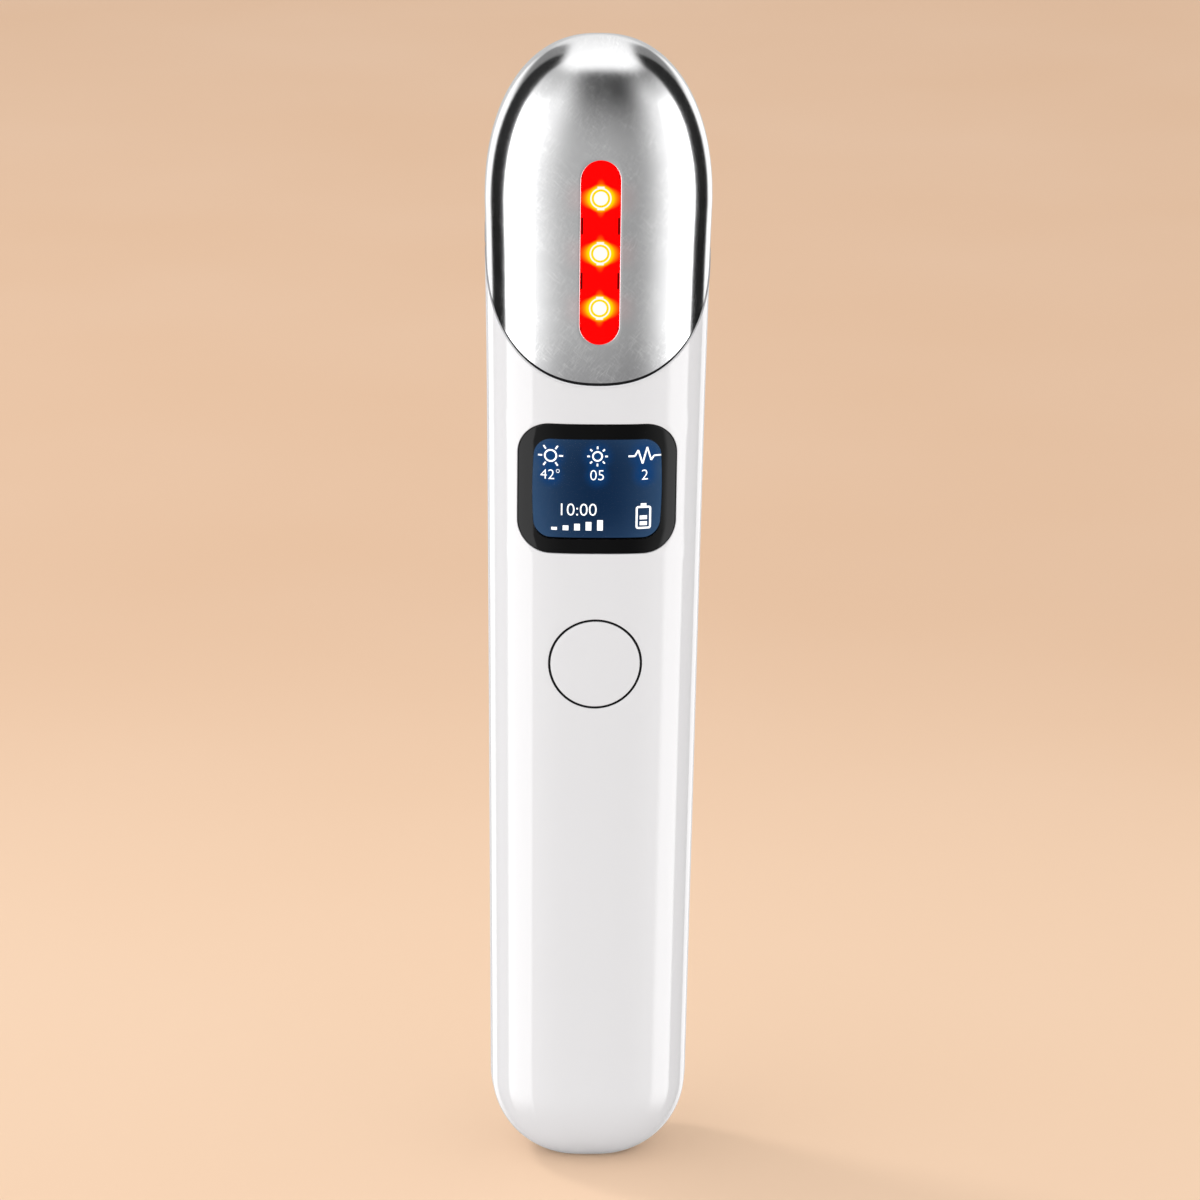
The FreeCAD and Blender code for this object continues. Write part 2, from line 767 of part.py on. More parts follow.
def rear_shell():
    """Back half of the handle, with two rails that slide inside the front half."""
    rails = []
    for index, side in enumerate(("left", "right")):
        near = "(base_half_width - core_inset - rail_thickness)"
        far = "(base_half_width + width_growth)"
        x = (f"-{far}", f"-{near}") if side == "left" else (near, far)
        z = ("battery_foot", "display_centre")
        tongue = block(f"RailTongue{index}", x, ("-rail_reach", "seat"), z)
        root = block(f"RailRoot{index}", x, ("0", "rail_root"), z)
        rails.append(common(f"RailTongueIn{index}", tongue, core_form))
        rails.append(common(f"RailRootIn{index}", root, outer_form))
    half = cut("RearShellHalf", handle_open, front_half)
    recess = cut("ContactRecess", contact_bar("ContactRecessBar", "contact_fit"), contact_form)
    post_hole = rod("PostHole", "post_radius + contact_fit", "y", "0", "2 * head_half_depth",
                    centre=("0", "post_height"))
    whole = fuse("RearShellWhole", half, *rails)
    return cut("RearShell", whole, fuse("RearTools", recess, post_hole))


rear = node(rear_shell(), "rear_shell")


def hand_contact():
    """Metal strip let into the back, with a post through the wall for its lead."""
    bar = cut("ContactHollow", contact_bar("ContactStripBar", "0"), contact_form)
    strip = common("ContactStrip", bar, outer_form)
    surface = half_depth("post_height")
    post = rod("ContactPost", "post_radius", "y", f"{surface} - post_length",
               f"{surface} - contact_thickness / 2", centre=("0", "post_height"))
    return fuse("HandContact", strip, post)


node(hand_contact(), "hand_contact")

# ------------------------------------------------------------------ head

slot = slot_bar("WindowSlot", "slot_width", "slot_length", "window_centre", FRONT)
head_skin = cut("HeadSkin", outer_form, head_inner_form)
head_cap = common("HeadCap", head_skin, head_zone)
node(cut("HeadShell", head_cap, slot), "head_shell")


def head_gasket():
    """Flat slanting ring pinched between the head and the handle."""
    edge = form("GasketForm", "gasket_recess")
    layer = cut("GasketLayer", head_side, head_zone)
    sheet_piece = common("GasketSheet", edge, layer)
    return cut("HeadGasket", sheet_piece, handle_inner_form)


node(head_gasket(), "head_gasket")

SLEEVE_HALF = "(reflector_width / 2 + sleeve_fit)"
SLEEVE_UP = "(reflector_length / 2 + sleeve_fit)"
LED_FOOT = "(window_centre - reflector_length / 2)"
LED_RIBBON_TOP = f"({LED_FOOT} + 2 * socket_edge)"


def head_core():
    """Plastic carrier inside the head: dome, slanting bulkhead, light sleeve and motor tube."""
    blank = common("CoreBlank", core_form, above_joint("CoreZone", "-spigot_depth"))
    upper = common("CoreUpperCavity", core_inner_form, above_joint("UpperZone", "bulkhead_thickness"))
    lower = cut("CoreLowerCavity", core_inner_form, above_joint("CoreSide", "0"))
    sleeve_x = f"({SLEEVE_HALF} + sleeve_wall)"
    sleeve_z = f"({SLEEVE_UP} + sleeve_wall)"
    sleeve = block("LightSleeve", (f"-{sleeve_x}", sleeve_x), (IN_FRONT, "led_board_back - seat"),
                   (f"window_centre - {sleeve_z}", f"window_centre + {sleeve_z}"))
    cavity = cut("CoreCavity", group("CoreCavities", upper, lower), sleeve)
    hollow = cut("CoreHollow", blank, cavity)
    axis = ("0", "motor_setback")
    tube = rod("MotorTube", "motor_bore + tube_wall", "z", "motor_foot - tube_floor", "motor_top + tube_rim",
               centre=axis)
    stud = rod("CoreStud", "stud_radius", "x", f"{stud_end} - stud_reach - core_wall", stud_end,
               centre=("0", stud_height))
    whole = fuse("CoreWhole", hollow, tube, stud, mirrored("CoreOtherStud", stud))
    opening = block("LightOpening", (f"-{SLEEVE_HALF}", SLEEVE_HALF), (IN_FRONT, "led_board_back + 2 * seat"),
                    (f"window_centre - {SLEEVE_UP}", f"window_centre + {SLEEVE_UP}"))
    ribbon_side = "(ribbon_width / 2 + sleeve_fit)"
    ribbon_notch = block("RibbonNotch", (f"-{ribbon_side}", ribbon_side),
                         ("led_board_back", "led_board_back + ribbon_thickness + 2 * seat"),
                         (f"{LED_FOOT} - 2 * socket_depth", f"{LED_RIBBON_TOP} + seat"))
    bore = rod("MotorBore", "motor_bore", "z", "motor_foot", "weight_top", centre=axis)
    wire_hole = rod("MotorWireHole", "motor_radius - sleeve_thickness", "z", "motor_foot - 2 * tube_floor",
                    "motor_top", centre=axis)
    sensor_hole = rod("SensorHole", "sensor_radius + sensor_fit", "y", IN_FRONT, "-head_half_depth / 2",
                      centre=("0", "sensor_height"))
    return cut("HeadCore", whole, fuse("CoreTools", opening, ribbon_notch, bore, wire_hole, sensor_hole))


node(head_core(), "head_core")


def light_window():
    """Red lens flush with the head, with a flange behind the metal wall."""
    bar = slot_bar("WindowBar", "slot_width - 2 * window_fit", "slot_length - 2 * window_fit",
                   "window_centre", (IN_FRONT, "window_back"))
    face = common("WindowFace", bar, outer_form)
    plate = slot_bar("WindowPlate", "flange_width", "flange_length", "window_centre",
                     (IN_FRONT, "window_back"))
    flange = common("WindowFlange", plate, head_inner_form)
    return fuse("LightWindow", face, flange)


node(light_window(), "light_window")


def light_reflector():
    """Frame between window and LED board, with pairs of teeth between the LEDs."""
    half_x = "reflector_width / 2"
    y = ("window_back", "reflector_back")
    body = block("ReflectorBody", ("-" + half_x, half_x), y,
                 ("window_centre - reflector_length / 2", "window_centre + reflector_length / 2"))
    hollow = slot_bar("ReflectorHollow", "slot_width", "slot_length", "window_centre",
                      ("2 * window_back", "0"))
    frame = cut("ReflectorFrame", body, hollow)
    teeth = []
    for index, steps in enumerate((-1.5, -0.5, 0.5, 1.5)):
        centre = f"window_centre + {steps} * led_pitch"
        height = "tooth_height" if abs(steps) < 1 else "tooth_height / 2"
        z = (f"{centre} - {height} / 2", f"{centre} + {height} / 2")
        inner = "(slot_width / 2 - tooth_width)"
        teeth.append(block(f"ToothLeft{index}", ("-" + half_x, "-" + inner), y, z))
        teeth.append(block(f"ToothRight{index}", (inner, half_x), y, z))
    return fuse("LightReflector", frame, *teeth)


node(light_reflector(), "light_reflector")
node(prism("LedBoard", "XZ", "reflector_back", "led_board_back", lambda sketch: rectangle(
    sketch, ("-reflector_width / 2", "reflector_width / 2"),
    ("window_centre - reflector_length / 2", "window_centre + reflector_length / 2"))), "led_board")


def light_leds():
    """Three LEDs on the board, each a square package with a clear dome."""
    lamps = []
    for index, steps in enumerate((-1, 0, 1)):
        centre = f"window_centre + {steps} * led_pitch"
        package = block(f"LedPackage{index}", ("-led_side / 2", "led_side / 2"),
                        ("reflector_back - led_height", "reflector_back"),
                        (f"{centre} - led_side / 2", f"{centre} + led_side / 2"))
        dome = doc.addObject("Part::Sphere", f"LedDome{index}")
        bind(dome, Radius="led_dome_radius")
        shift(dome, "0", "reflector_back - led_height", centre)
        zone = block(f"LedDomeZone{index}", ("-led_side / 2", "led_side / 2"),
                     ("reflector_back - led_height - led_dome_radius", "reflector_back - led_height / 2"),
                     (f"{centre} - led_side / 2", f"{centre} + led_side / 2"))
        cap = common(f"LedCap{index}", dome, zone)
        lamps.append(fuse(f"Led{index}", package, cap))
    return group("LightLeds", *lamps)


node(light_leds(), "light_leds")


def heater_film():
    """Printed film on the inside of the cap, in an arch over the light window."""
    film_inner = form("FilmInnerForm", "film_inset")
    layer = cut("FilmLayer", head_inner_form, film_inner)
    top = "(sensor_height + sensor_radius + film_bridge)"
    low = "window_centre - film_below"
    sheet_zone = block("FilmZone", ("-film_half_width", "film_half_width"),
                       (IN_FRONT, "-head_half_depth / 4"), (low, top))
    arch = block("FilmArch", ("-film_edge", "film_edge"), FRONT,
                 (f"{low} - film_bridge", "window_centre + reflector_length / 2 + sensor_fit"))
    return common("HeaterFilm", cut("FilmOutline", sheet_zone, arch), layer)


node(heater_film(), "heater_film")
sensor_front = f"seat - {crown_depth('sensor_height + sensor_radius', 'film_inset')}"
node(rod("TemperatureSensor", "sensor_radius", "y", sensor_front, f"{sensor_front} + sensor_thickness",
         centre=("0", "sensor_height")), "temperature_sensor")

# ------------------------------------------------------------------ vibration motor


def turned_upright(name, corners):
    """Body turned about the motor's axis."""
    return turned(name, "XZ", corners, low="motor_setback")


node(turned_upright("MotorSleeve", [
    ("motor_radius", "motor_foot"), ("motor_radius + sleeve_thickness", "motor_foot"),
    ("motor_radius + sleeve_thickness", "motor_top"), ("motor_radius", "motor_top")]), "motor_sleeve")
node(turned_upright("VibrationMotor", [
    ("0", "motor_foot"), ("motor_radius", "motor_foot"), ("motor_radius", "motor_top"),
    ("shaft_radius + motor_fit", "motor_top"), ("shaft_radius + motor_fit", "motor_top - shaft_depth - seat"),
    ("0", "motor_top - shaft_depth - seat")]), "vibration_motor")
node(turned_upright("MotorShaft", [
    ("0", "motor_top - shaft_depth"), ("shaft_radius", "motor_top - shaft_depth"),
    ("shaft_radius", "weight_top"), ("0", "weight_top")]), "motor_shaft")


def motor_weight():
    """Half round tungsten weight on the motor's shaft."""
    body = turned_upright("MotorWeightBody", [
        ("shaft_radius", "weight_foot"), ("weight_radius", "weight_foot"),
        ("weight_radius", "weight_top"), ("shaft_radius", "weight_top")])
    far_side = block("WeightCut", ("-2 * weight_radius", "2 * weight_radius"),
                     ("motor_setback + 2 * shaft_radius", "motor_setback + 2 * weight_radius"),
                     ("weight_foot - seat", "weight_top + seat"))
    return cut("MotorWeight", body, far_side)


node(motor_weight(), "motor_weight")

# ------------------------------------------------------------------ display


def display_lens():
    """Window that follows the shell in front and is flat behind."""
    bar = prism("LensBar", "XZ", IN_FRONT, "lens_back", lambda sketch: rounded(
        sketch, "lens_width", "lens_height", "lens_corner", "display_centre"))
    return common("DisplayLens", bar, outer_form)


node(display_lens(), "display_lens")


def display_adhesive():
    """Thin ring of adhesive tape between lens and ledge."""
    body = prism("DisplayAdhesive", "XZ", "lens_back", "ledge", lambda sketch: rounded(
        sketch, "lens_width", "lens_height", "lens_corner", "display_centre"))
    hole = sketch_on(body, "XZ", high="ledge")
    rounded(hole, "module_width + 2 * module_fit", "module_height + 2 * module_fit",
            "module_corner + module_fit", "display_centre")
    pocket(body, hole, "adhesive_thickness", reverse=True)
    return body


node(display_adhesive(), "display_adhesive")
node(prism("DisplayModule", "XZ", "module_front", "module_back", lambda sketch: rounded(
    sketch, "module_width", "module_height", "module_corner", "display_centre")), "display_module")

MODULE_FOOT = "(display_centre - module_height / 2)"
SOCKET_FACE = "(board_front - socket_depth)"
SOCKET_MIDDLE = "(board_front - socket_depth / 2)"
DISPLAY_SOCKET_TOP = f"({MODULE_FOOT} - socket_depth - socket_height)"
HEAD_SOCKET_TOP = "(board_top - socket_edge)"


def ribbon(name, start, upper, bend_top, bend_foot, end):
    """Flat ribbon seen from the side: down from start, across to the socket, then down to end."""
    thick = "ribbon_thickness"
    near = f"{SOCKET_MIDDLE} + {thick}"
    corners = [(start, upper), (f"{start} + {thick}", upper), (f"{start} + {thick}", bend_top),
               (near, bend_foot), (near, end), (SOCKET_MIDDLE, end),
               (SOCKET_MIDDLE, f"{bend_foot} - {thick}"), (start, f"{bend_top} - {thick}")]
    return prism(name, "YZ", "-ribbon_width / 2", "ribbon_width / 2",
                 lambda sketch: outline(sketch, *corners))


node(ribbon("DisplayRibbon", "(module_back - 3 * ribbon_thickness)", f"{MODULE_FOOT} - ribbon_thickness / 5",
            f"{MODULE_FOOT} - socket_depth", f"{DISPLAY_SOCKET_TOP} + socket_edge", DISPLAY_SOCKET_TOP),
     "display_ribbon")
node(ribbon("HeadRibbon", "led_board_back", LED_RIBBON_TOP, f"{LED_FOOT} - 2 * socket_depth",
            f"{HEAD_SOCKET_TOP} + socket_edge", HEAD_SOCKET_TOP), "head_ribbon")

# ------------------------------------------------------------------ key and switch


def power_button():
    """Round key that follows the shell in front, with a flange and a stem behind."""
    centre = ("0", "key_centre")
    bar = rod("KeyRod", "key_radius", "y", IN_FRONT, "flange_back", centre=centre)
    cap = common("KeyCap", bar, outer_form)
    flange = rod("KeyFlange", "key_flange_radius", "y", "flange_front", "flange_back", centre=centre)
    stem = rod("KeyStem", "key_stem_radius", "y", "flange_front", "plunger_front - stem_gap", centre=centre)
    return fuse("PowerButton", cap, flange, stem)


node(power_button(), "power_button")


def tact_switch():
    """Square push switch on the main board, with a bore for its plunger."""
    half = "switch_side / 2"
    body = prism("TactSwitch", "XZ", "switch_front", "board_front", lambda sketch: rectangle(
        sketch, ("-" + half, half), (f"key_centre - {half}", f"key_centre + {half}")))
    dress(body, "Chamfer", "switch_chamfer", "y")
    bore = sketch_on(body, "XZ", high="switch_front")
    circle(bore, "plunger_radius + plunger_fit", ("0", "key_centre"))
    pocket(body, bore, "plunger_length - plunger_proud + key_travel + 2 * seat")
    return body


node(tact_switch(), "tact_switch")
node(rod("SwitchPlunger", "plunger_radius", "y", "plunger_front", "plunger_front + plunger_length",
         centre=("0", "key_centre")), "switch_plunger")

# ------------------------------------------------------------------ main board


def main_board():
    """Circuit board on four bosses of the front shell."""
    body = prism("MainBoard", "XZ", "board_front", "board_back", lambda sketch: rounded(
        sketch, "board_width", "board_top - board_foot", "board_corner", "(board_foot + board_top) / 2"))
    holes = sketch_on(body, "XZ", high="board_front")
    for side, height in corner_screws():
        circle(holes, "pilot_radius + pilot_fit", (f"{side} * screw_spacing / 2", height))
    pocket(body, holes, "board_thickness")
    return body


node(main_board(), "main_board")


def chip(name, x, rise, wide, high, tall):
    """Block on the back of the main board, from its centre, size and height."""
    z = f"key_centre + {rise}"
    return block(name, (f"{x} - {wide} / 2", f"{x} + {wide} / 2"), ("board_back", f"board_back + {tall}"),
                 (f"{z} - {high} / 2", f"{z} + {high} / 2"))


CHIPS = {
    # name: across, above the key's centre, width, height
    "Processor": ("0", "processor_rise", "processor_side", "processor_side"),
    "Charger": ("-board_width / 4", "driver_rise", "driver_width", "driver_length"),
    "HeaterDriver": ("board_width / 4", "driver_rise", "driver_length", "driver_width"),
    "MotorDriver": ("-board_width / 4", "coil_rise", "driver_width", "driver_width"),
}
node(group("ControllerChips", *[chip(name, *place, "chip_height") for name, place in CHIPS.items()]),
     "controller_chips")
node(chip("PulseCoil", "board_width / 4 - screw_radius", "coil_rise", "coil_side", "coil_side",
          "coil_height"), "pulse_transformer")


def socket(name, width, top):
    """Ribbon socket on the front of the main board."""
    return block(name, (f"-{width} / 2", f"{width} / 2"), (SOCKET_FACE, "board_front"),
                 (f"{top} - socket_height", top))


node(group("BoardConnectors", socket("DisplaySocket", "socket_width", DISPLAY_SOCKET_TOP),
           socket("HeadSocket", "head_socket_width", HEAD_SOCKET_TOP)), "board_connectors")


def screw(name, seat_plane, side, spacing, height):
    """Pan head screw whose head rests on the back of a board."""
    head_end = f"({seat_plane} + screw_head_height)"
    recess = "screw_head_radius / 2"
    corners = [("0", f"{seat_plane} - screw_length"), ("screw_radius", f"{seat_plane} - screw_length"),
               ("screw_radius", seat_plane), ("screw_head_radius", seat_plane),
               ("screw_head_radius", head_end), (recess, head_end),
               (recess, f"{head_end} - screw_recess"), ("0", f"{head_end} - screw_recess")]
    return turned(name, "XY", corners, origin=(f"{side} * {spacing} / 2", "0"), low=height)


node(group("BoardScrews", *[screw(f"BoardScrew{index}", "board_back", side, "screw_spacing", height)
                            for index, (side, height) in enumerate(corner_screws())]), "board_screws")

# ------------------------------------------------------------------ battery

SHOULDER = "battery_top - battery_button"
node(turned("BatteryCell", "XZ", [
    ("0", "battery_foot"), ("battery_radius", "battery_foot"), ("battery_radius", SHOULDER),
    ("battery_radius / 2", SHOULDER), ("battery_radius / 2", "battery_top"), ("0", "battery_top")],
    low="battery_setback"), "battery_cell")


def battery_cradle():
    """Open plastic tray that holds the cell against the front shell."""
    side = "(battery_radius + cradle_side)"
    blank = block("CradleBlock", (f"-{side}", side), (IN_FRONT, "-cradle_lip"),
                  ("port_bay_height", "cradle_top"))
    inside = common("CradleBlank", blank, core_form)
    bore = rod("CradleBore", "battery_radius + battery_play", "z", "battery_foot - battery_play",
               "battery_top + battery_play", centre=("0", "battery_setback"))
    window = block("CradleWindow", ("-cradle_window / 2", "cradle_window / 2"), FRONT,
                   ("battery_foot + cradle_window", "battery_top - cradle_window"))
    return cut("BatteryCradle", inside, fuse("CradleTools", bore, window))


node(battery_cradle(), "battery_cradle")
BATTERY_BACK = "(battery_setback + battery_radius)"
BATTERY_MIDDLE = "(battery_foot + battery_top) / 2"
node(block("BatteryPad", ("-pad_width / 2", "pad_width / 2"),
           (BATTERY_BACK, f"{BATTERY_BACK} + pad_thickness - seat"),
           (f"{BATTERY_MIDDLE} - pad_length / 2", f"{BATTERY_MIDDLE} + pad_length / 2")), "battery_pad")

# ------------------------------------------------------------------ charging port


def port_shell():
    """Drawn metal shell of the charging port, closed behind."""
    body = port_bar("PortShell", "0", "port_recess", "port_top")
    inner = sketch_on(body, "XY", low="port_recess")
    rounded(inner, "port_width - 2 * port_sheet", "port_height - 2 * port_sheet", "port_corner - port_sheet")
    pocket(body, inner, "port_depth - port_sheet", reverse=True)
    return body


node(port_shell(), "port_shell")


def port_tongue():
    """Contact tongue in the middle of the port."""
    half_x = "tongue_width / 2"
    half_y = "tongue_thickness / 2"
    body = prism("PortTongue", "XY", "port_recess + tongue_recess", "port_top - port_sheet",
                 lambda sketch: rectangle(sketch, ("-" + half_x, half_x), ("-" + half_y, half_y)))
    dress(body, "Fillet", "tongue_thickness / 4", "z")
    return body


node(port_tongue(), "port_tongue")


def port_board():
    """Small board that straddles the port's shell."""
    edge = "port_board_width / 2"
    slit = "(port_width / 2 + port_board_slit)"
    shoulder = "(port_top + port_board_slit)"
    body = prism("PortBoard", "XZ", "port_board_face", "port_board_back", lambda sketch: outline(
        sketch, ("-" + edge, "port_board_foot"), ("-" + slit, "port_board_foot"), ("-" + slit, shoulder),
        (slit, shoulder), (slit, "port_board_foot"), (edge, "port_board_foot"), (edge, "port_board_top"),
        ("-" + edge, "port_board_top")))
    holes = sketch_on(body, "XZ", high="port_board_face")
    for side in (-1, 1):
        circle(holes, "pilot_radius + pilot_fit", (f"{side} * port_screw_spacing / 2", "port_screw"))
    pocket(body, holes, "port_board_thickness")
    return body


node(port_board(), "port_board")
port_screw = screw("PortScrew", "port_board_back", 1, "port_screw_spacing", "port_screw")
node(group("PortScrews", port_screw, mirrored("PortOtherScrew", port_screw)), "port_screws")

# ------------------------------------------------------------------ leads


BEND_SHARE = 0.45    # how much of its shorter run a bend takes up


def lead(name, places):
    """Round lead along straight runs joined by tangent arcs."""
    points = [Vector(*(value(part) for part in place)) for place in places]
    edges = []
    start = points[0]
    for before, corner, after in zip(points, points[1:], points[2:]):
        back = (before - corner).normalize()
        on = (after - corner).normalize()
        half_turn = (math.pi - back.getAngle(on)) / 2
        reach = BEND_SHARE * min((before - corner).Length, (after - corner).Length)
        radius = reach / math.tan(half_turn)
        print(f"{name}: bend radius {radius:.2f}")
        middle = corner + (back + on).normalize() * (radius / math.cos(half_turn) - radius)
        arc = Part.Arc(corner + back * reach, middle, corner + on * reach)
        edges += [Part.LineSegment(start, corner + back * reach).toShape(), arc.toShape()]
        start = corner + on * reach
    edges.append(Part.LineSegment(start, points[-1]).toShape())
    path = Part.Wire(edges)
    ring = Part.Wire([Part.makeCircle(value("lead_radius"), points[0], points[1] - points[0])])
    item = doc.addObject("Part::Feature", name)
    item.Shape = path.makePipeShell([ring], True, False)
    return item


def pair(name, places):
    """Two leads, one each side of the middle plane."""
    one = lead(name + "One", places)
    return group(name, one, mirrored(name + "Other", one))


BATTERY_LEAD = "battery_radius / 2 - lead_radius"
BATTERY_LEAD_Y = "battery_setback + battery_radius / 4"
LEAD_RISE = "battery_top + lead_start"
node(pair("BatteryLeads", [
    (BATTERY_LEAD, BATTERY_LEAD_Y, "battery_top"),
    (BATTERY_LEAD, BATTERY_LEAD_Y, LEAD_RISE),
    (BATTERY_LEAD, "lead_plane", f"{LEAD_RISE} + lead_run"),
    (BATTERY_LEAD, "lead_plane", f"{LEAD_RISE} + 2 * lead_run")]), "battery_leads")

PORT_PAD = "port_width / 2 - pad_inset"
TURN_OUT = "port_board_top - lead_turn_drop"
TURN_IN = "lead_channel_middle - lead_turn_in"
node(pair("PortLeads", [
    (PORT_PAD, "lead_plane", "port_board_top - pad_drop"),
    (PORT_PAD, "lead_plane", TURN_OUT),
    ("lead_channel_middle - lead_slant", "lead_plane", TURN_OUT),
    ("lead_channel_middle", "lead_plane", "port_bay_height"),
    ("lead_channel_middle", "lead_plane", f"{LEAD_RISE} + lead_run / 2"),
    (TURN_IN, "lead_plane", f"{LEAD_RISE} + lead_run * 5 / 4"),
    (TURN_IN, "lead_plane", f"{LEAD_RISE} + lead_run * 2")]), "port_leads")

MOTOR_LEAD = "motor_radius / 3"
MOTOR_LEAD_FOOT = "motor_foot - motor_lead_start"
node(pair("MotorLeads", [
    (MOTOR_LEAD, "motor_setback", "motor_foot"),
    (MOTOR_LEAD, "motor_setback", MOTOR_LEAD_FOOT),
    (MOTOR_LEAD, "lead_plane", f"{MOTOR_LEAD_FOOT} - lead_run"),
    (MOTOR_LEAD, "lead_plane", f"{MOTOR_LEAD_FOOT} - lead_run * 7 / 4")]), "motor_leads")

POST_END = half_depth("post_height") + " - post_length"
LEAD_BEND = "post_height + contact_lead_run"
node(lead("ContactLead", [
    ("0", POST_END, "post_height"),
    ("0", f"{POST_END} - contact_lead_run", "post_height"),
    ("0", "board_back + contact_lead_run", LEAD_BEND),
    ("0", "board_back + seat", LEAD_BEND)]), "contact_lead")

# ------------------------------------------------------------------ check and write

doc.recompute()
for item in doc.Objects:
    if "Invalid" in item.State or "Error" in item.State:
        raise RuntimeError(f"{item.Name} failed: {item.State}")
for item in nodes:
    shape = item.Shape
    if shape.isNull() or not shape.isValid() or not shape.Solids:
        raise RuntimeError(f"{item.Label} is not a valid solid")

os.makedirs("parts", exist_ok=True)
for item in nodes:
    item.Shape.exportStep(os.path.join("parts", item.Label + ".step"))
    print(f"{item.Label}: {len(item.Shape.Solids)} solids, {item.Shape.Volume:.1f} mm3")
print(f"{len(nodes)} nodes")
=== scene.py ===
import math

import bmesh
import bpy
from mathutils import Matrix, Vector


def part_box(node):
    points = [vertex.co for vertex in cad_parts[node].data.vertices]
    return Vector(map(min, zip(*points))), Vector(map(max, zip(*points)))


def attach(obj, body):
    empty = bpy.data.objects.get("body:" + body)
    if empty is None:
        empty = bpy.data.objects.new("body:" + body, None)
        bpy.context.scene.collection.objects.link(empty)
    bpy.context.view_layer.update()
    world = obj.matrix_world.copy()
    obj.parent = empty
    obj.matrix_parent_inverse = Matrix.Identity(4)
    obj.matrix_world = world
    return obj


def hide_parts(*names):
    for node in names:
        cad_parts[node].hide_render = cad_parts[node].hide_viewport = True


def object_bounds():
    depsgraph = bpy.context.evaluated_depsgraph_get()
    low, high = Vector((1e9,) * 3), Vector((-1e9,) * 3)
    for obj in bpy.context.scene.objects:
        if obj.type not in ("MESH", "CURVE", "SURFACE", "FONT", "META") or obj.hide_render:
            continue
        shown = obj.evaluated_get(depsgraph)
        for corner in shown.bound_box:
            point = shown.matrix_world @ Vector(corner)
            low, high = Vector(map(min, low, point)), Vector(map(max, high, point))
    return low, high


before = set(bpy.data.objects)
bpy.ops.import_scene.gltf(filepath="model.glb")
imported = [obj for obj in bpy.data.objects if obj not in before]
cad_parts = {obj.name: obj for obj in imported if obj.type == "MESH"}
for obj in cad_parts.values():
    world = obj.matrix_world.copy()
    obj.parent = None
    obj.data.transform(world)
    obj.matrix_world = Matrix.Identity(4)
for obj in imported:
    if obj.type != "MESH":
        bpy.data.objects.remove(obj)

cad_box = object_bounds()

# Heated eye massager wand. Shapes are worked out in millimetres and written in metres.
MM = 0.001


def new_object(name, data):
    """New object in the scene."""
    made = bpy.data.objects.new(name, data)
    bpy.context.scene.collection.objects.link(made)
    return made


# ------------------------------------------------------------------ camera
# A long lens looks down a little on the front of the standing wand, from half a metre away and
# from a touch to the left. It leans by less than a degree.

DOWNWARD = math.radians(17.45)
SIDEWAYS = math.radians(1.75)
LEAN = math.radians(0.72)
DISTANCE = 520.0
AIM = Vector((0.81, 0.0, 73.8))
SENSOR = 36.0
LENS = 124.65

lens_data = bpy.data.cameras.new("Camera")
lens_data.sensor_width = SENSOR
lens_data.lens = LENS
lens_data.clip_start = 0.01
camera = new_object("Camera", lens_data)
level_back = Vector((-math.sin(SIDEWAYS), -math.cos(SIDEWAYS), 0.0))
backward = level_back * math.cos(DOWNWARD) + Vector((0.0, 0.0, math.sin(DOWNWARD)))
turn = backward.to_track_quat("Z", "Y").to_matrix() @ Matrix.Rotation(LEAN, 3, "Z")
camera.matrix_world = Matrix.Translation((AIM + backward * DISTANCE) * MM) @ turn.to_4x4()
bpy.context.scene.camera = camera
bpy.context.scene.view_settings.view_transform = "Standard"

# ------------------------------------------------------------------ studio
# A wide sand-coloured table under a plain pale sky. Shiny surfaces mirror tall white softboxes at
# both sides, a grey wall behind the camera, black flags beside the boxes and a light overhead.


class Value:
    """A number, vector or colour in a shader. Sums written on it add nodes to that shader."""

    def __init__(self, shader, socket):
        self.shader = shader
        self.socket = socket

    def math(self, operation, *others):
        return self.shader.node("Math", {"operation": operation}, [self, *others])

    def __add__(self, other):
        return self.math("ADD", other)

    def __sub__(self, other):
        return self.math("SUBTRACT", other)

    def __rsub__(self, other):
        return self.shader.node("Math", {"operation": "SUBTRACT"}, [other, self])

    def __mul__(self, other):
        return self.math("MULTIPLY", other)

    def __truediv__(self, other):
        return self.math("DIVIDE", other)

    def __pow__(self, other):
        return self.math("POWER", other)

    def __abs__(self):
        return self.math("ABSOLUTE")

    def __neg__(self):
        return self * -1.0

    __radd__ = __add__
    __rmul__ = __mul__

    def least(self, other):
        return self.math("MINIMUM", other)

    def most(self, other):
        return self.math("MAXIMUM", other)

    def step(self, low, high):
        """0 below low, 1 above high and smooth between them. A high under low turns it round."""
        return self.shader.node("MapRange", {"interpolation_type": "SMOOTHSTEP"}, [self, low, high])

    def band(self, low, high, soft):
        """1 between low and high, 0 outside, with soft edges."""
        return self.step(low - soft, low + soft) * self.step(high + soft, high - soft)


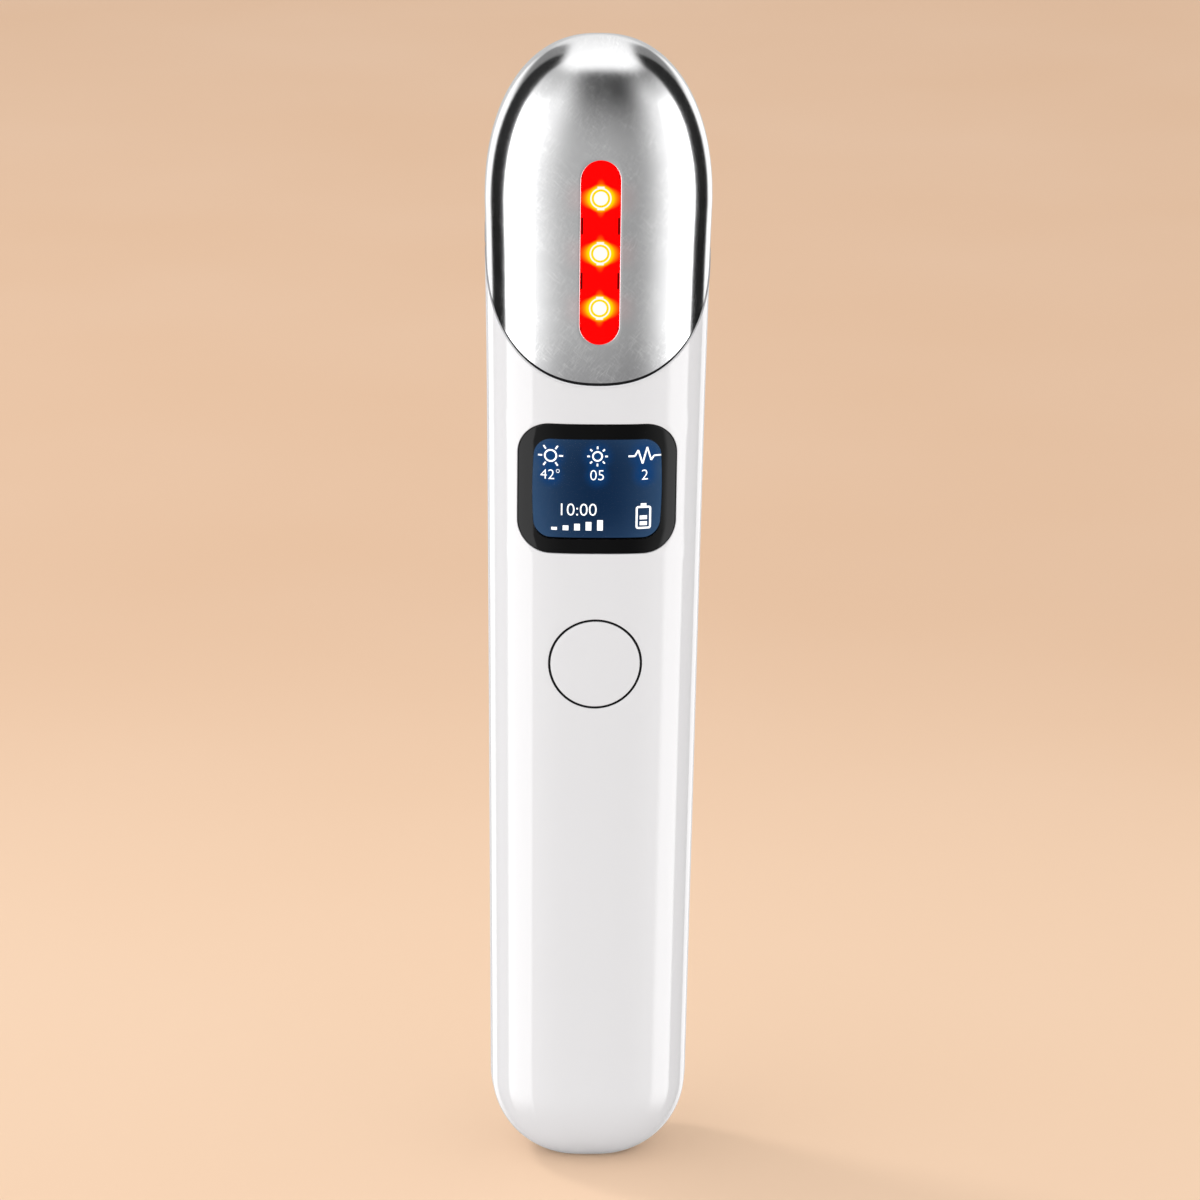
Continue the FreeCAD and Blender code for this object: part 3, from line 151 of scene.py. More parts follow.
class Shader:
    """The nodes of one material, or of the sky."""

    def __init__(self, owner):
        owner.use_nodes = True
        self.tree = owner.node_tree

    def node(self, kind, settings, values=(), out=0, **named):
        """Add a node, set it up, fill its sockets by order or by name, and return one output."""
        made = self.tree.nodes.new("ShaderNode" + kind)
        for name, setting in settings.items():
            setattr(made, name, setting)
        for place, value in [*enumerate(values), *named.items()]:
            self.feed(made.inputs[place], value)
        return Value(self, made.outputs[out])

    def feed(self, socket, value):
        """Link a value to a socket, or set the socket to it. A colour is three numbers."""
        if isinstance(value, Value):
            self.tree.links.new(value.socket, socket)
        elif socket.type == "RGBA":
            socket.default_value = (*value, 1.0)
        else:
            socket.default_value = value

    def split(self, vector):
        """The three numbers of a vector."""
        return [self.node("SeparateXYZ", {}, [vector], out=axis) for axis in range(3)]

    def blend(self, share, first, second):
        """Colour between two colours."""
        made = self.tree.nodes.new("ShaderNodeMix")
        made.data_type = "RGBA"
        for place, value in ((0, share), (6, first), (7, second)):
            self.feed(made.inputs[place], value)
        return Value(self, made.outputs[2])


# The sky as matt surfaces see it: brighter to both sides, most of all to the left, and darker behind.
SKY_FRONT = 0.70
SKY_SIDES = 0.83
SKY_TO_LEFT = 0.17
SKY_BEHIND = 0.30
BACKDROP_LEVEL = 0.75       # the bare sky behind the table
# The studio as shiny surfaces mirror it.
WALL_LEVEL = 0.36
WALL_TO_LEFT = 0.12
LEFT_SHOULDER = 0.62
RIGHT_SHOULDER = 0.85
SOFTBOX_LEVEL = 2.4
FLAG_LEVEL = 0.010
RIM_LEVEL = 1.3
FAR_LEVEL = 0.6
CEILING_LEVEL = 0.04
OVERHEAD_LEVEL = 1.35
GROUND_LEVEL = 0.30
# Where its parts begin and end, in degrees. Each fades in from the first number to the second.
LIFTED = (0.0, 38.0)
HIGH = (36.0, 60.0)
WALL_LEFT_HALF = (9.0, -3.0)
WALL_TOP = (46.0, 8.0)
LEFT_SHOULDER_IN = (-4.0, -38.0)
RIGHT_SHOULDER_IN = (12.0, 46.0)
LEFT_BOX_IN = (-38.0, -41.0)
RIGHT_BOX_IN = (45.0, 55.0)
BOX_TOP = (42.0, 18.0)
FRONT_HALF = (92.0, 85.0)
FLAG_BAND = (88.5, 136.0, 1.5)
RIM_BAND = (136.0, 164.0, 1.5)
RIM_TOP = (20.0, 6.0)
FAR_END = (162.5, 165.5)
OVERHEAD_FOOT = (6.0, 16.0)
TABLE_EDGE = (-52.0, -24.0)
OVERHEAD_REACH = (0.50, 0.28)       # as a share of the sky's radius, seen from above

world = bpy.data.worlds.new("Studio")
bpy.context.scene.world = world
sky = Shader(world)
# A direction's bearing is in degrees from straight ahead of the wand, left of it below 0, and
# raised is its height above the horizon in degrees.
east, north, up = sky.split(sky.node("TexCoord", {}))
level_reach = (east * east + north * north) ** 0.5
from_front = ((-north) / level_reach.most(0.0001)).math("ARCCOSINE") * (180.0 / math.pi)
bearing = from_front * east.math("SIGN")
raised = up.math("ARCSINE") * (180.0 / math.pi)
lifted = raised.step(*LIFTED)
high = raised.step(*HIGH)
wall = WALL_LEVEL + bearing.step(*WALL_LEFT_HALF) * WALL_TO_LEFT
left_shoulder = (bearing - lifted * 10.0).step(*LEFT_SHOULDER_IN) * (LEFT_SHOULDER + lifted * 0.35)
right_shoulder = (bearing + lifted * 4.0).step(*RIGHT_SHOULDER_IN) * RIGHT_SHOULDER
softboxes = (bearing.step(*LEFT_BOX_IN) + bearing.step(*RIGHT_BOX_IN)) * SOFTBOX_LEVEL
before = (
    wall * raised.step(*WALL_TOP) + CEILING_LEVEL
    + left_shoulder * (1.0 - high * 0.4)
    + right_shoulder * (1.0 - high * 0.7)
    + softboxes * raised.step(*BOX_TOP)
)
around = (
    from_front.step(*FRONT_HALF) * before
    + from_front.band(*FLAG_BAND) * FLAG_LEVEL
    + from_front.band(*RIM_BAND) * RIM_LEVEL * (0.2 + raised.step(*RIM_TOP) * 0.8)
    + from_front.step(*FAR_END) * FAR_LEVEL
)
behind = north.most(0.0)
off_middle = (((east - 0.02) * (1.0 + behind * 0.8)) ** 2.0 + north.least(0.0) ** 2.0) ** 0.5
overhead = off_middle.step(*OVERHEAD_REACH) * raised.step(*OVERHEAD_FOOT)
above_table = raised.step(*TABLE_EDGE)
mirrored_sky = (
    around * (1.0 - overhead) * above_table
    + (1.0 - above_table) * GROUND_LEVEL
    + overhead * OVERHEAD_LEVEL * (1.0 - behind * 0.3)
)
matt_sky = SKY_FRONT + SKY_SIDES * abs(east) - SKY_TO_LEFT * east - SKY_BEHIND * behind
is_mirrored = sky.node("LightPath", {}, out="Is Glossy Ray")
is_seen = sky.node("LightPath", {}, out="Is Camera Ray").most(
    sky.node("LightPath", {}, out="Is Transmission Ray"))
unlit_sky = is_mirrored * mirrored_sky + is_seen * BACKDROP_LEVEL
sky_light = unlit_sky + (1.0 - is_mirrored.most(is_seen)) * matt_sky
sky.feed(sky.tree.nodes["Background"].inputs["Color"], sky_light)


def surface(name, **constants):
    """New material with a Principled surface: the material, its shader and the surface's sockets."""
    material = bpy.data.materials.new(name)
    shader = Shader(material)
    principled = shader.tree.nodes["Principled BSDF"]
    for socket, value in constants.items():
        principled.inputs[socket.replace("_", " ")].default_value = value
    return material, shader, principled.inputs


def place_in_mm(shader):
    """The x, y and z of a spot on a piece, in millimetres."""
    return [axis * (1.0 / MM) for axis in shader.split(shader.node("TexCoord", {}, out="Object"))]


def speckle(shader, size, detail=2.0):
    """Soft random field about 0.5 whose patches have a size in millimetres."""
    spot = shader.node("TexCoord", {}, out="Object")
    return shader.node("TexNoise", {}, Vector=spot, Scale=1.0 / (size * MM), Detail=detail)


def tint(shader, sockets, share, first, second):
    """Colour a surface between two colours."""
    shader.feed(sockets["Base Color"], shader.blend(share, first, second))


def mottle(shader, sockets, size, first, second, detail=2.0):
    """Colour a surface in soft patches of a size, between two colours."""
    tint(shader, sockets, speckle(shader, size, detail), first, second)


TABLE_HALF = 4000.0
TABLE_DARKENS = (20.0, 260.0)               # from here to there behind the wand
TABLE_NEAR = (0.848, 0.587, 0.395)
TABLE_FAR = (0.705, 0.455, 0.288)
TABLE_BOUNCE = (0.80, 0.76, 0.735)     # how the table tints the light it throws back up

table_material, shader, sockets = surface("TableTop", Roughness=0.9)
seen = shader.node("LightPath", {}, out="Is Camera Ray")
for ray in ("Is Glossy Ray", "Is Transmission Ray"):
    seen = seen.most(shader.node("LightPath", {}, out=ray))
_, depth, _ = place_in_mm(shader)
table_colour = shader.blend(depth.step(*TABLE_DARKENS), TABLE_NEAR, TABLE_FAR)
table_colour = shader.blend(0.12 * speckle(shader, 120.0), table_colour, (1.0, 0.9, 0.8))
tint(shader, sockets, seen, TABLE_BOUNCE, table_colour)

bm = bmesh.new()
bmesh.ops.create_grid(bm, x_segments=1, y_segments=1, size=TABLE_HALF * MM)
table_mesh = bpy.data.meshes.new("TableTop")
bm.to_mesh(table_mesh)
bm.free()
table_mesh.materials.append(table_material)
table = new_object("TableTop", table_mesh)
table.visible_glossy = False

LAMP_PLACE = Vector((-520.0, 330.0, 620.0))     # high behind the wand, on the left
LAMP_TARGET = Vector((0.0, 0.0, 60.0))
LAMP_SIZE = 130.0
LAMP_WATTS = 1.25

lamp_data = bpy.data.lights.new("KeyLamp", "AREA")
lamp_data.size = LAMP_SIZE * MM
lamp_data.energy = LAMP_WATTS
lamp = new_object("KeyLamp", lamp_data)
lamp_turn = (LAMP_TARGET - LAMP_PLACE).to_track_quat("-Z", "Y").to_matrix()
lamp.matrix_world = Matrix.Translation(LAMP_PLACE * MM) @ lamp_turn.to_4x4()
lamp.visible_glossy = False
lamp.visible_camera = False

# ------------------------------------------------------------------ front shell
# Front half of the handle, moulded in glossy white ABS. It has a window for the display, a round
# hole for the key and half of the charging port's mouth. Its edges are broken by a fine radius.

BASE_HALF_WIDTH = 12.45
BASE_HALF_DEPTH = 9.8
WIDTH_GROWTH = 1.05
DEPTH_GROWTH = 0.8
HEAD_FLARE = 0.3
FLARE_POWER = 8.0
SECTION_POWER = 2.8
FOOT_ROUND = 11.65
FOOT_TOP = 10.45
CROWN_ROUND = 20.0
CROWN_POWER = 2.2
CROWN_FOOT = cad_box[1].z / MM - CROWN_ROUND
HEAD_HALF_DEPTH = BASE_HALF_DEPTH + DEPTH_GROWTH
WALL = 1.5
EDGE_RADIUS = 0.13
FINE_EDGE = 0.06
EDGE_STEPS = 3
FRONT = -1.0
BACK = 1.0


def halves(height, inset=0.0):
    """Half width and half depth of the form at a height, drawn in by an inset."""
    part = min(max((height - FOOT_TOP) / (CROWN_FOOT - FOOT_TOP), 0.0), 1.0)
    wide = BASE_HALF_WIDTH + WIDTH_GROWTH * part + HEAD_FLARE * part ** FLARE_POWER - inset
    deep = BASE_HALF_DEPTH + DEPTH_GROWTH * part - inset
    drop = min(max((FOOT_TOP - height) / (FOOT_ROUND - inset), 0.0), 1.0)
    rise = min(max((height - CROWN_FOOT) / (CROWN_ROUND - inset), 0.0), 1.0)
    shrink = (1.0 - drop ** 2) ** 0.5 * (1.0 - rise ** CROWN_POWER) ** (1.0 / CROWN_POWER)
    return wide * shrink, deep * shrink


def skin(turn, height, inset=0.0):
    """Point of the form at a height and a turn about its axis: 0 behind, 0.25 right, 0.5 in front."""
    x = math.sin(turn * 2.0 * math.pi)
    y = math.cos(turn * 2.0 * math.pi)
    reach = (abs(x) ** SECTION_POWER + abs(y) ** SECTION_POWER) ** (-1.0 / SECTION_POWER)
    wide, deep = halves(height, inset)
    return Vector((wide * reach * x, deep * reach * y, height))


def on_skin(x, z, sink=0.0, side=FRONT, inset=0.0):
    """Point of the form's front or back at a place, sunk under it."""
    wide, deep = halves(z, inset)
    share = min(abs(x) / wide, 1.0)
    depth = deep * (1.0 - share ** SECTION_POWER) ** (1.0 / SECTION_POWER)
    return Vector((x, side * (depth - sink), z))


class Outline:
    """Rounded outline in the plane X, Z: everything within a radius of a core rectangle.

    It has round ends, or is a circle, unless the radius of its corners is given.
    """

    def __init__(self, half_x, half_z, centre, radius=None):
        self.radius = half_x if radius is None else radius
        self.core = (half_x - self.radius, half_z - self.radius)
        self.centre = centre

    def at(self, x, z, more=0.0):
        """Nearest place on the outline, grown by a little more."""
        off = Vector((x, z - self.centre))
        near = Vector(min(max(value, -half), half) for value, half in zip(off, self.core))
        spot = near + (off - near).normalized() * (self.radius + more)
        return spot.x, spot.y + self.centre

    def walk(self, share):
        """Place on the outline after a share of its way round."""
        core_x, core_z = self.core
        arc = self.radius * math.pi / 2.0
        way = share * 4.0 * (core_x + core_z + arc)
        corners = [(core_x, -core_z), (core_x, core_z), (-core_x, core_z), (-core_x, -core_z)]
        for quarter, (x, z) in enumerate(corners):
            turn = quarter * math.pi / 2.0
            run = 2.0 * (core_x if quarter % 2 else core_z)
            if way > run + arc and quarter < 3:
                way -= run + arc
                continue
            straight = min(way, run)
            x -= math.sin(turn) * straight
            z += math.cos(turn) * straight
            turn += (way - straight) / self.radius
            return x + self.radius * math.cos(turn), z + self.radius * math.sin(turn) + self.centre


def lay(bm, columns, rows):
    """Lay a grid of faces through rows, each a function of the share across, and return its corners."""
    made = bmesh.ops.create_grid(bm, x_segments=columns, y_segments=len(rows) - 1, size=0.5)["verts"]
    width = columns + 1
    lattice = [made[index * width:(index + 1) * width] for index in range(len(rows))]
    for row, corners in zip(rows, lattice):
        for index, corner in enumerate(corners):
            corner.co = row(index / columns)
    return lattice


def grow(bm, edges, place):
    """Extrude a loop of edges and move its new corners to a place worked out from the old one."""
    made = bmesh.ops.extrude_edge_only(bm, edges=edges)["geom"]
    for item in made:
        if isinstance(item, bmesh.types.BMVert):
            item.co = place(item.co)
    return [item for item in made if isinstance(item, bmesh.types.BMEdge)]


HOLE_MARGIN = 1.3
APPROACH = (1.0 / 3.0, 0.5, 1.0)    # how much of the way that is left each ring goes toward a hole


def cut_window(bm, lattice, outline, side=FRONT):
    """Take a block of cells round an outline out of a skin, and return the edges round the gap."""
    half_x, half_z = (half + outline.radius + HOLE_MARGIN for half in outline.core)
    rows = []
    for row in lattice:
        facing = [corner for corner in row if corner.is_valid and corner.co.y * side >= 0.0]
        nearest = min(facing, key=lambda corner: abs(corner.co.x))
        if abs(nearest.co.z - outline.centre) < half_z:
            rows.append(row)
    middle = rows[len(rows) // 2]
    columns = [index for index, corner in enumerate(middle)
               if corner.co.y * side > 0.0 and abs(corner.co.x) < half_x]
    covered = {row[index] for row in rows for index in columns}
    cells = {cell for corner in covered for cell in corner.link_faces if covered.issuperset(cell.verts)}
    rim = [edge for cell in cells for edge in cell.edges
           if sum(other in cells for other in edge.link_faces) == 1]
    bmesh.ops.delete(bm, geom=list(cells), context="FACES")
    return rim


def soft_hole(bm, rim, outline, side=FRONT, radius=EDGE_RADIUS):
    """Lead the skin from a gap's rim to an outline and round it over into the hole."""
    for share in APPROACH:
        def nearer(co, share=share):
            x, z = outline.at(co.x, co.z, radius)
            return on_skin(co.x + (x - co.x) * share, co.z + (z - co.z) * share, side=side)
        rim = grow(bm, rim, nearer)
    for step in range(1, EDGE_STEPS + 1):
        angle = step / EDGE_STEPS * math.pi / 2.0

        def rounded(co, angle=angle):
            x, z = outline.at(co.x, co.z, radius * (1.0 - math.sin(angle)))
            return on_skin(x, z, radius * (1.0 - math.cos(angle)), side)
        rim = grow(bm, rim, rounded)
    return rim


def open_edges(bm):
    return [edge for edge in bm.edges if edge.is_boundary]


SHARP = math.radians(42.0)


def make_piece(name, bm, material, body, slot, *nodes):
    """Make a finished mesh a piece that rides on a body and stands for its nodes."""
    bmesh.ops.recalc_face_normals(bm, faces=bm.faces)
    bmesh.ops.scale(bm, vec=(MM, MM, MM), verts=bm.verts)
    mesh = bpy.data.meshes.new(name)
    bm.to_mesh(mesh)
    bm.free()
    mesh.shade_smooth()
    mesh.set_sharp_from_angle(angle=SHARP)
    mesh.materials.append(material)
    piece = new_object(name, mesh)
    weight = piece.modifiers.new("EvenNormals", "WEIGHTED_NORMAL")
    weight.keep_sharp = True
    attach(piece, body)
    if nodes:
        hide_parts(*nodes)
    return piece


def centre_of(node):
    low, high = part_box(node)
    return (low + high) / (2.0 * MM)


def size_of(node):
    low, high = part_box(node)
    return (high - low) / MM


DISPLAY_TO_JOINT = 12.75
JOINT_FRONT = centre_of("display_lens").z + DISPLAY_TO_JOINT
JOINT_SLOPE = math.radians(47.5)
JOINT_ARCH = 38.5
PORT_HALF_WIDTH = 4.65
PORT_HALF_DEPTH = 1.81
PORT_CORNER = 1.58
PORT_MOUTH = Outline(PORT_HALF_WIDTH, PORT_HALF_DEPTH, 0.0, PORT_CORNER)
JOINT_RUN = 2.6                 # the rows of the handle's skin are level until this far under it
JOINT_START = JOINT_FRONT - JOINT_RUN
ROUNDS = 12                     # a place on the slanting joint is closed in on in so many rounds
MOUTH_ROWS = 3
FOOT_ROWS = 16
STRAIGHT_ROWS = 150
JOINT_ROWS = 36
HALF_COLUMNS = 104


def toward_joint(turn, level, share, inset, lift=0.0):
    """Point of the skin part of the way from a level height to the arched, slanting joint."""
    point = skin(turn, level, inset)
    for _ in range(ROUNDS):
        slant = (point.y + HEAD_HALF_DEPTH) * math.sin(JOINT_SLOPE)
        arch = JOINT_ARCH - ((JOINT_ARCH - lift) ** 2 - point.x ** 2) ** 0.5
        joint = JOINT_FRONT + (slant + arch) / math.cos(JOINT_SLOPE)
        point = skin(turn, level + (joint - level) * share, inset)
    return point


def handle_rows(start, inset):
    """Rows of one half of the handle's skin, from the port's mouth to the joint."""
    def level(height):
        return lambda across: skin(start + across / 2.0, height, inset)

    def foot(share):
        def place(across):
            flat = skin(start + across / 2.0, inset, inset)
            x, y = PORT_MOUTH.at(flat.x, flat.y)
            return Vector((x, y, inset)).lerp(flat, share)
        return place

    rows = [foot(step / MOUTH_ROWS) for step in range(MOUTH_ROWS)]
    round_height = FOOT_ROUND - inset
    first = math.acos((FOOT_TOP - inset) / round_height)
    for step in range(FOOT_ROWS):
        angle = first + (math.pi / 2.0 - first) * step / FOOT_ROWS
        rows.append(level(FOOT_TOP - round_height * math.cos(angle)))
    for step in range(STRAIGHT_ROWS):
        rows.append(level(FOOT_TOP + (JOINT_START - FOOT_TOP) * step / STRAIGHT_ROWS))
    for step in range(JOINT_ROWS + 1):
        rows.append(lambda across, share=step / JOINT_ROWS:
                    toward_joint(start + across / 2.0, JOINT_START, share, inset))
    return rows


def close_shell(bm, outer_edges, radius=EDGE_RADIUS):
    """Join the two skins of a shell along their open edges and round the outer corner over."""
    bmesh.ops.bridge_loops(bm, edges=open_edges(bm))
    kept = [edge for edge in outer_edges if edge.is_valid]
    bmesh.ops.bevel(bm, geom=kept, offset=radius, segments=EDGE_STEPS, profile=0.5,
                    affect="EDGES", material=-1)
    for corner in bm.verts:
        corner.co.z = max(corner.co.z, 0.0)     # no corner of the rounding dips under the flat foot


FIT = 0.05
LENS_CORNER = 3.9
KEY_RADIUS = 5.5
KEY_GAP = 0.3
lens_size = size_of("display_lens")
lens_height = centre_of("display_lens").z
key_height = centre_of("power_button").z
display_hole = Outline(lens_size.x / 2.0 + FIT, lens_size.z / 2.0 + FIT, lens_height, LENS_CORNER + FIT)
key_hole = Outline(KEY_RADIUS + KEY_GAP, KEY_RADIUS + KEY_GAP, key_height)

bm = bmesh.new()
outer = lay(bm, HALF_COLUMNS, handle_rows(0.25, 0.0))
outer_edges = open_edges(bm)
inner = lay(bm, HALF_COLUMNS, handle_rows(0.25, WALL))
for outline, radius in ((display_hole, EDGE_RADIUS), (key_hole, FINE_EDGE)):
    hole = soft_hole(bm, cut_window(bm, outer, outline), outline, radius=radius)
    hole = grow(bm, hole, lambda co: on_skin(co.x, co.z, inset=WALL))
    bmesh.ops.bridge_loops(bm, edges=hole + cut_window(bm, inner, outline))
close_shell(bm, outer_edges)

white_plastic, shader, sockets = surface("WhitePlastic", IOR=1.56)
mottle(shader, sockets, 40.0, (0.830, 0.830, 0.845), (0.850, 0.850, 0.865))
shader.feed(sockets["Roughness"], 0.055 + 0.03 * speckle(shader, 2.5, 6.0))
make_piece("FrontShell", bm, white_plastic, "body", "body_gloss", "front_shell")

# ------------------------------------------------------------------ rear shell
# Back half of the handle, moulded in the same white ABS. A long shallow recess takes the hand
# contact. It meets the front half along both sides.

CONTACT_THICKNESS = 0.6
contact_size = size_of("hand_contact")
contact_half = contact_size.x / 2.0
contact_height = centre_of("hand_contact").z
contact_recess = Outline(contact_half + FIT, contact_size.z / 2.0 + FIT, contact_height)
FLOOR_RINGS = (0.0, 1.4, 2.8)   # how far the rings of the recess's floor lie within its wall

bm = bmesh.new()
outer = lay(bm, HALF_COLUMNS, handle_rows(0.75, 0.0))
outer_edges = open_edges(bm)
lay(bm, HALF_COLUMNS, handle_rows(0.75, WALL))
rim = soft_hole(bm, cut_window(bm, outer, contact_recess, BACK), contact_recess, BACK)
for drawn_in in FLOOR_RINGS:
    rim = grow(bm, rim, lambda co, drawn_in=drawn_in:
               on_skin(*contact_recess.at(co.x, co.z, -drawn_in), CONTACT_THICKNESS, BACK))
bmesh.ops.edgeloop_fill(bm, edges=rim)
close_shell(bm, outer_edges)
make_piece("RearShell", bm, white_plastic, "body", "body_gloss", "rear_shell")

# ------------------------------------------------------------------ head gasket
# Thin black silicone ring, pinched between the metal head and the handle on the arched joint.
# Its edge lies a little under the surface and draws the dark line round the head.

GASKET_RECESS = 0.08
GASKET_THICKNESS = 0.35
MERGE = 0.0005


def ring_row(inset, lift):
    return lambda across: toward_joint(across, JOINT_START, 1.0, inset, lift)


bm = bmesh.new()
corners = [(WALL, 0.0), (GASKET_RECESS, 0.0), (GASKET_RECESS, GASKET_THICKNESS),
           (WALL, GASKET_THICKNESS), (WALL, 0.0)]
lay(bm, 2 * HALF_COLUMNS, [ring_row(inset, lift) for inset, lift in corners])
bmesh.ops.remove_doubles(bm, verts=bm.verts, dist=MERGE)

black_rubber, shader, sockets = surface("BlackRubber", Roughness=0.6, Specular_IOR_Level=0.08)
mottle(shader, sockets, 1.2, (0.006, 0.006, 0.007), (0.012, 0.012, 0.013))
make_piece("HeadGasket", bm, black_rubber, "body", "black_rubber", "head_gasket")

# ------------------------------------------------------------------ head shell
# Cap drawn from one sheet of stainless steel, polished satin bright and nickel plated, with a long
# round-ended slot for the light. It is pressed over the plastic core and warms the skin.

HEAD_WALL = 1.0
SLOT_HALF_WIDTH = 2.4
SLOT_HALF_LENGTH = 11.2
SLANT_ROWS = 72
CROWN_ROWS = 40
LEVEL_ABOVE_WINDOW = 13.2       # the head's rows turn from slanting to level above its centre
window_height = centre_of("light_window").z
HEAD_LEVEL = window_height + LEVEL_ABOVE_WINDOW
slot = Outline(SLOT_HALF_WIDTH, SLOT_HALF_LENGTH, window_height)


def head_rows(inset):
    """Rows of the head's skin, from the joint to the pole."""
    rows = []
    for step in range(SLANT_ROWS, 0, -1):
        rows.append(lambda across, share=step / SLANT_ROWS:
                    toward_joint(across, HEAD_LEVEL, share, inset, GASKET_THICKNESS))
    crown = CROWN_ROUND - inset
    first = math.asin(((HEAD_LEVEL - CROWN_FOOT) / crown) ** (CROWN_POWER / 2.0))
    for step in range(CROWN_ROWS + 1):
        angle = first + (math.pi / 2.0 - first) * step / CROWN_ROWS
        height = CROWN_FOOT + crown * math.sin(angle) ** (2.0 / CROWN_POWER)
        rows.append(lambda across, height=height: skin(across, height, inset))
    return rows


bm = bmesh.new()
outer = lay(bm, 2 * HALF_COLUMNS, head_rows(0.0))
joint_edges = [edge for edge in open_edges(bm) if all(corner in outer[0] for corner in edge.verts)]
inner = lay(bm, 2 * HALF_COLUMNS, head_rows(HEAD_WALL))
hole = soft_hole(bm, cut_window(bm, outer, slot), slot, radius=FINE_EDGE)
hole = grow(bm, hole, lambda co: on_skin(co.x, co.z, inset=HEAD_WALL))
bmesh.ops.bridge_loops(bm, edges=hole + cut_window(bm, inner, slot))
bmesh.ops.remove_doubles(bm, verts=bm.verts, dist=MERGE)
close_shell(bm, joint_edges, FINE_EDGE)


def hairlines(shader, angle, length, width):
    """Fine polishing lines at an angle across the front, bunched in patches."""
    spot = shader.node("TexCoord", {}, out="Object")
    turned = shader.node("Mapping", {"vector_type": "TEXTURE"}, Vector=spot,
                         Rotation=(0.0, math.radians(angle), 0.0),
                         Scale=(length * MM, length * MM, width * MM))
    lines = shader.node("TexNoise", {}, Vector=turned, Scale=1.0, Detail=1.0, Distortion=0.25)
    return lines.step(0.55, 0.68)


SHADED_HEIGHT = 9.0


def satin_metal(name):
    """Nickel-bright metal, polished in short crossing strokes, with painted shade that darkens it toward
    the joint and below it.
    """
    material, shader, sockets = surface(name, Metallic=1.0)
    lines = (hairlines(shader, 43.0, 1.2, 0.06) + hairlines(shader, -48.0, 1.0, 0.06)
             + 0.6 * hairlines(shader, -72.0, 1.4, 0.07)) * speckle(shader, 3.0).step(0.34, 0.62)
    tone = shader.blend(speckle(shader, 6.0), (0.77, 0.77, 0.775), (0.81, 0.81, 0.815))
    _, _, z = place_in_mm(shader)
    # Painted shade: the metal's colour darkens from SHADED_HEIGHT above the joint down to it, and stays
    # dark below the joint.
    shade = z.step(JOINT_FRONT + SHADED_HEIGHT, JOINT_FRONT) * 0.55
    tone = shader.blend(shade, tone, (0.40, 0.40, 0.41))
    tint(shader, sockets, 0.4 * lines, tone, (1.0, 1.0, 1.0))
    shader.feed(sockets["Roughness"], 0.15 + 0.03 * speckle(shader, 1.6, 5.0) + 0.02 * lines)
    shader.feed(sockets["Normal"],
                shader.node("Bump", {}, Strength=0.1, Distance=0.004 * MM, Height=lines))
    return material, shader, sockets


LED_PITCH = 6.7


def about_lamps(shader):
    """How far a spot lies to the side of the row of LEDs, above its middle, and above the next LED."""
    x, _, z = place_in_mm(shader)
    above = z - window_height
    return abs(x), above, abs(above).least(abs(abs(above) - LED_PITCH))


# The hand contact's metal takes the same painted joint shade, set by its height.
contact_metal, _, _ = satin_metal("ContactMetal")
head_metal, shader, sockets = satin_metal("HeadMetal")
# Painted light: the metal beside the slot glows faint red next to each LED, a painted spill of the LEDs'
# light.
aside, _, to_lamp = about_lamps(shader)
painted_led_spill = aside.step(5.0, 2.6) * to_lamp.step(2.6, 0.4)
sockets["Emission Strength"].default_value = 1.0
shader.feed(sockets["Emission Color"], shader.blend(painted_led_spill, (0.0, 0.0, 0.0), (0.05, 0.0, 0.0)))
make_piece("HeadShell", bm, head_metal, "body", "head_metal", "head_shell")


def finish_nodes(material, *names):
    """Give nodes of the frame that keep their shape their finish."""
    for name in names:
        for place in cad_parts[name].material_slots:
            place.material = material


# ------------------------------------------------------------------ head core
# Carrier moulded in pale grey glass-filled plastic. It fills the cap and closes the handle with a
# slanting bulkhead. Two studs lock it between the handle's halves.

carrier_plastic, shader, sockets = surface("CarrierPlastic")
mottle(shader, sockets, 1.5, (0.36, 0.36, 0.37), (0.43, 0.43, 0.44), 4.0)
shader.feed(sockets["Roughness"], 0.45 + 0.15 * speckle(shader, 0.6, 4.0))
shader.feed(sockets["Normal"],
            shader.node("Bump", {}, Strength=0.2, Distance=0.02 * MM, Height=speckle(shader, 0.15, 3.0)))
finish_nodes(carrier_plastic, "head_core")

# ------------------------------------------------------------------ heater
# Amber polyimide film with an etched heating track, glued round the window between core and cap.
# A sealed sensor bead at its upper end reads the cap's warmth.

POLYIMIDE = (0.50, 0.20, 0.03)
TRACK = (0.30, 0.11, 0.03)

heater_finish, shader, sockets = surface("HeaterFilm")
_, _, z = place_in_mm(shader)
track = (z * (2.0 * math.pi / 1.6)).math("SINE").step(0.0, 0.25)
tint(shader, sockets, track, POLYIMIDE, TRACK)
shader.feed(sockets["Roughness"], 0.30 + 0.10 * speckle(shader, 1.0))
finish_nodes(heater_finish, "heater_film")

sensor_finish, shader, sockets = surface("SensorBead", Roughness=0.25)
mottle(shader, sockets, 0.5, (0.02, 0.02, 0.02), (0.05, 0.05, 0.05))
finish_nodes(sensor_finish, "temperature_sensor")

# ------------------------------------------------------------------ vibration motor
# Small can motor in a rubber sleeve, with a half-round tungsten weight on its shaft. It hangs in
# the core's tube and shakes the head.

bare_steel, shader, sockets = surface("BareSteel", Metallic=1.0)
mottle(shader, sockets, 1.0, (0.58, 0.57, 0.56), (0.68, 0.67, 0.66), 4.0)
shader.feed(sockets["Roughness"], 0.24 + 0.12 * speckle(shader, 0.7, 4.0))
finish_nodes(bare_steel, "vibration_motor", "motor_shaft", "motor_weight")
finish_nodes(black_rubber, "motor_sleeve")

# ------------------------------------------------------------------ light window
# Long lens of clear red acrylic, flush in the head's slot and held from behind by a flange.
# The lens's face is painted to glow: red all over, with white spots in yellow glows where the three LEDs
# stand behind it, and dark red painted shade where the reflector teeth stand between them.

RING_CORNERS = 160
FILL_RINGS = 9


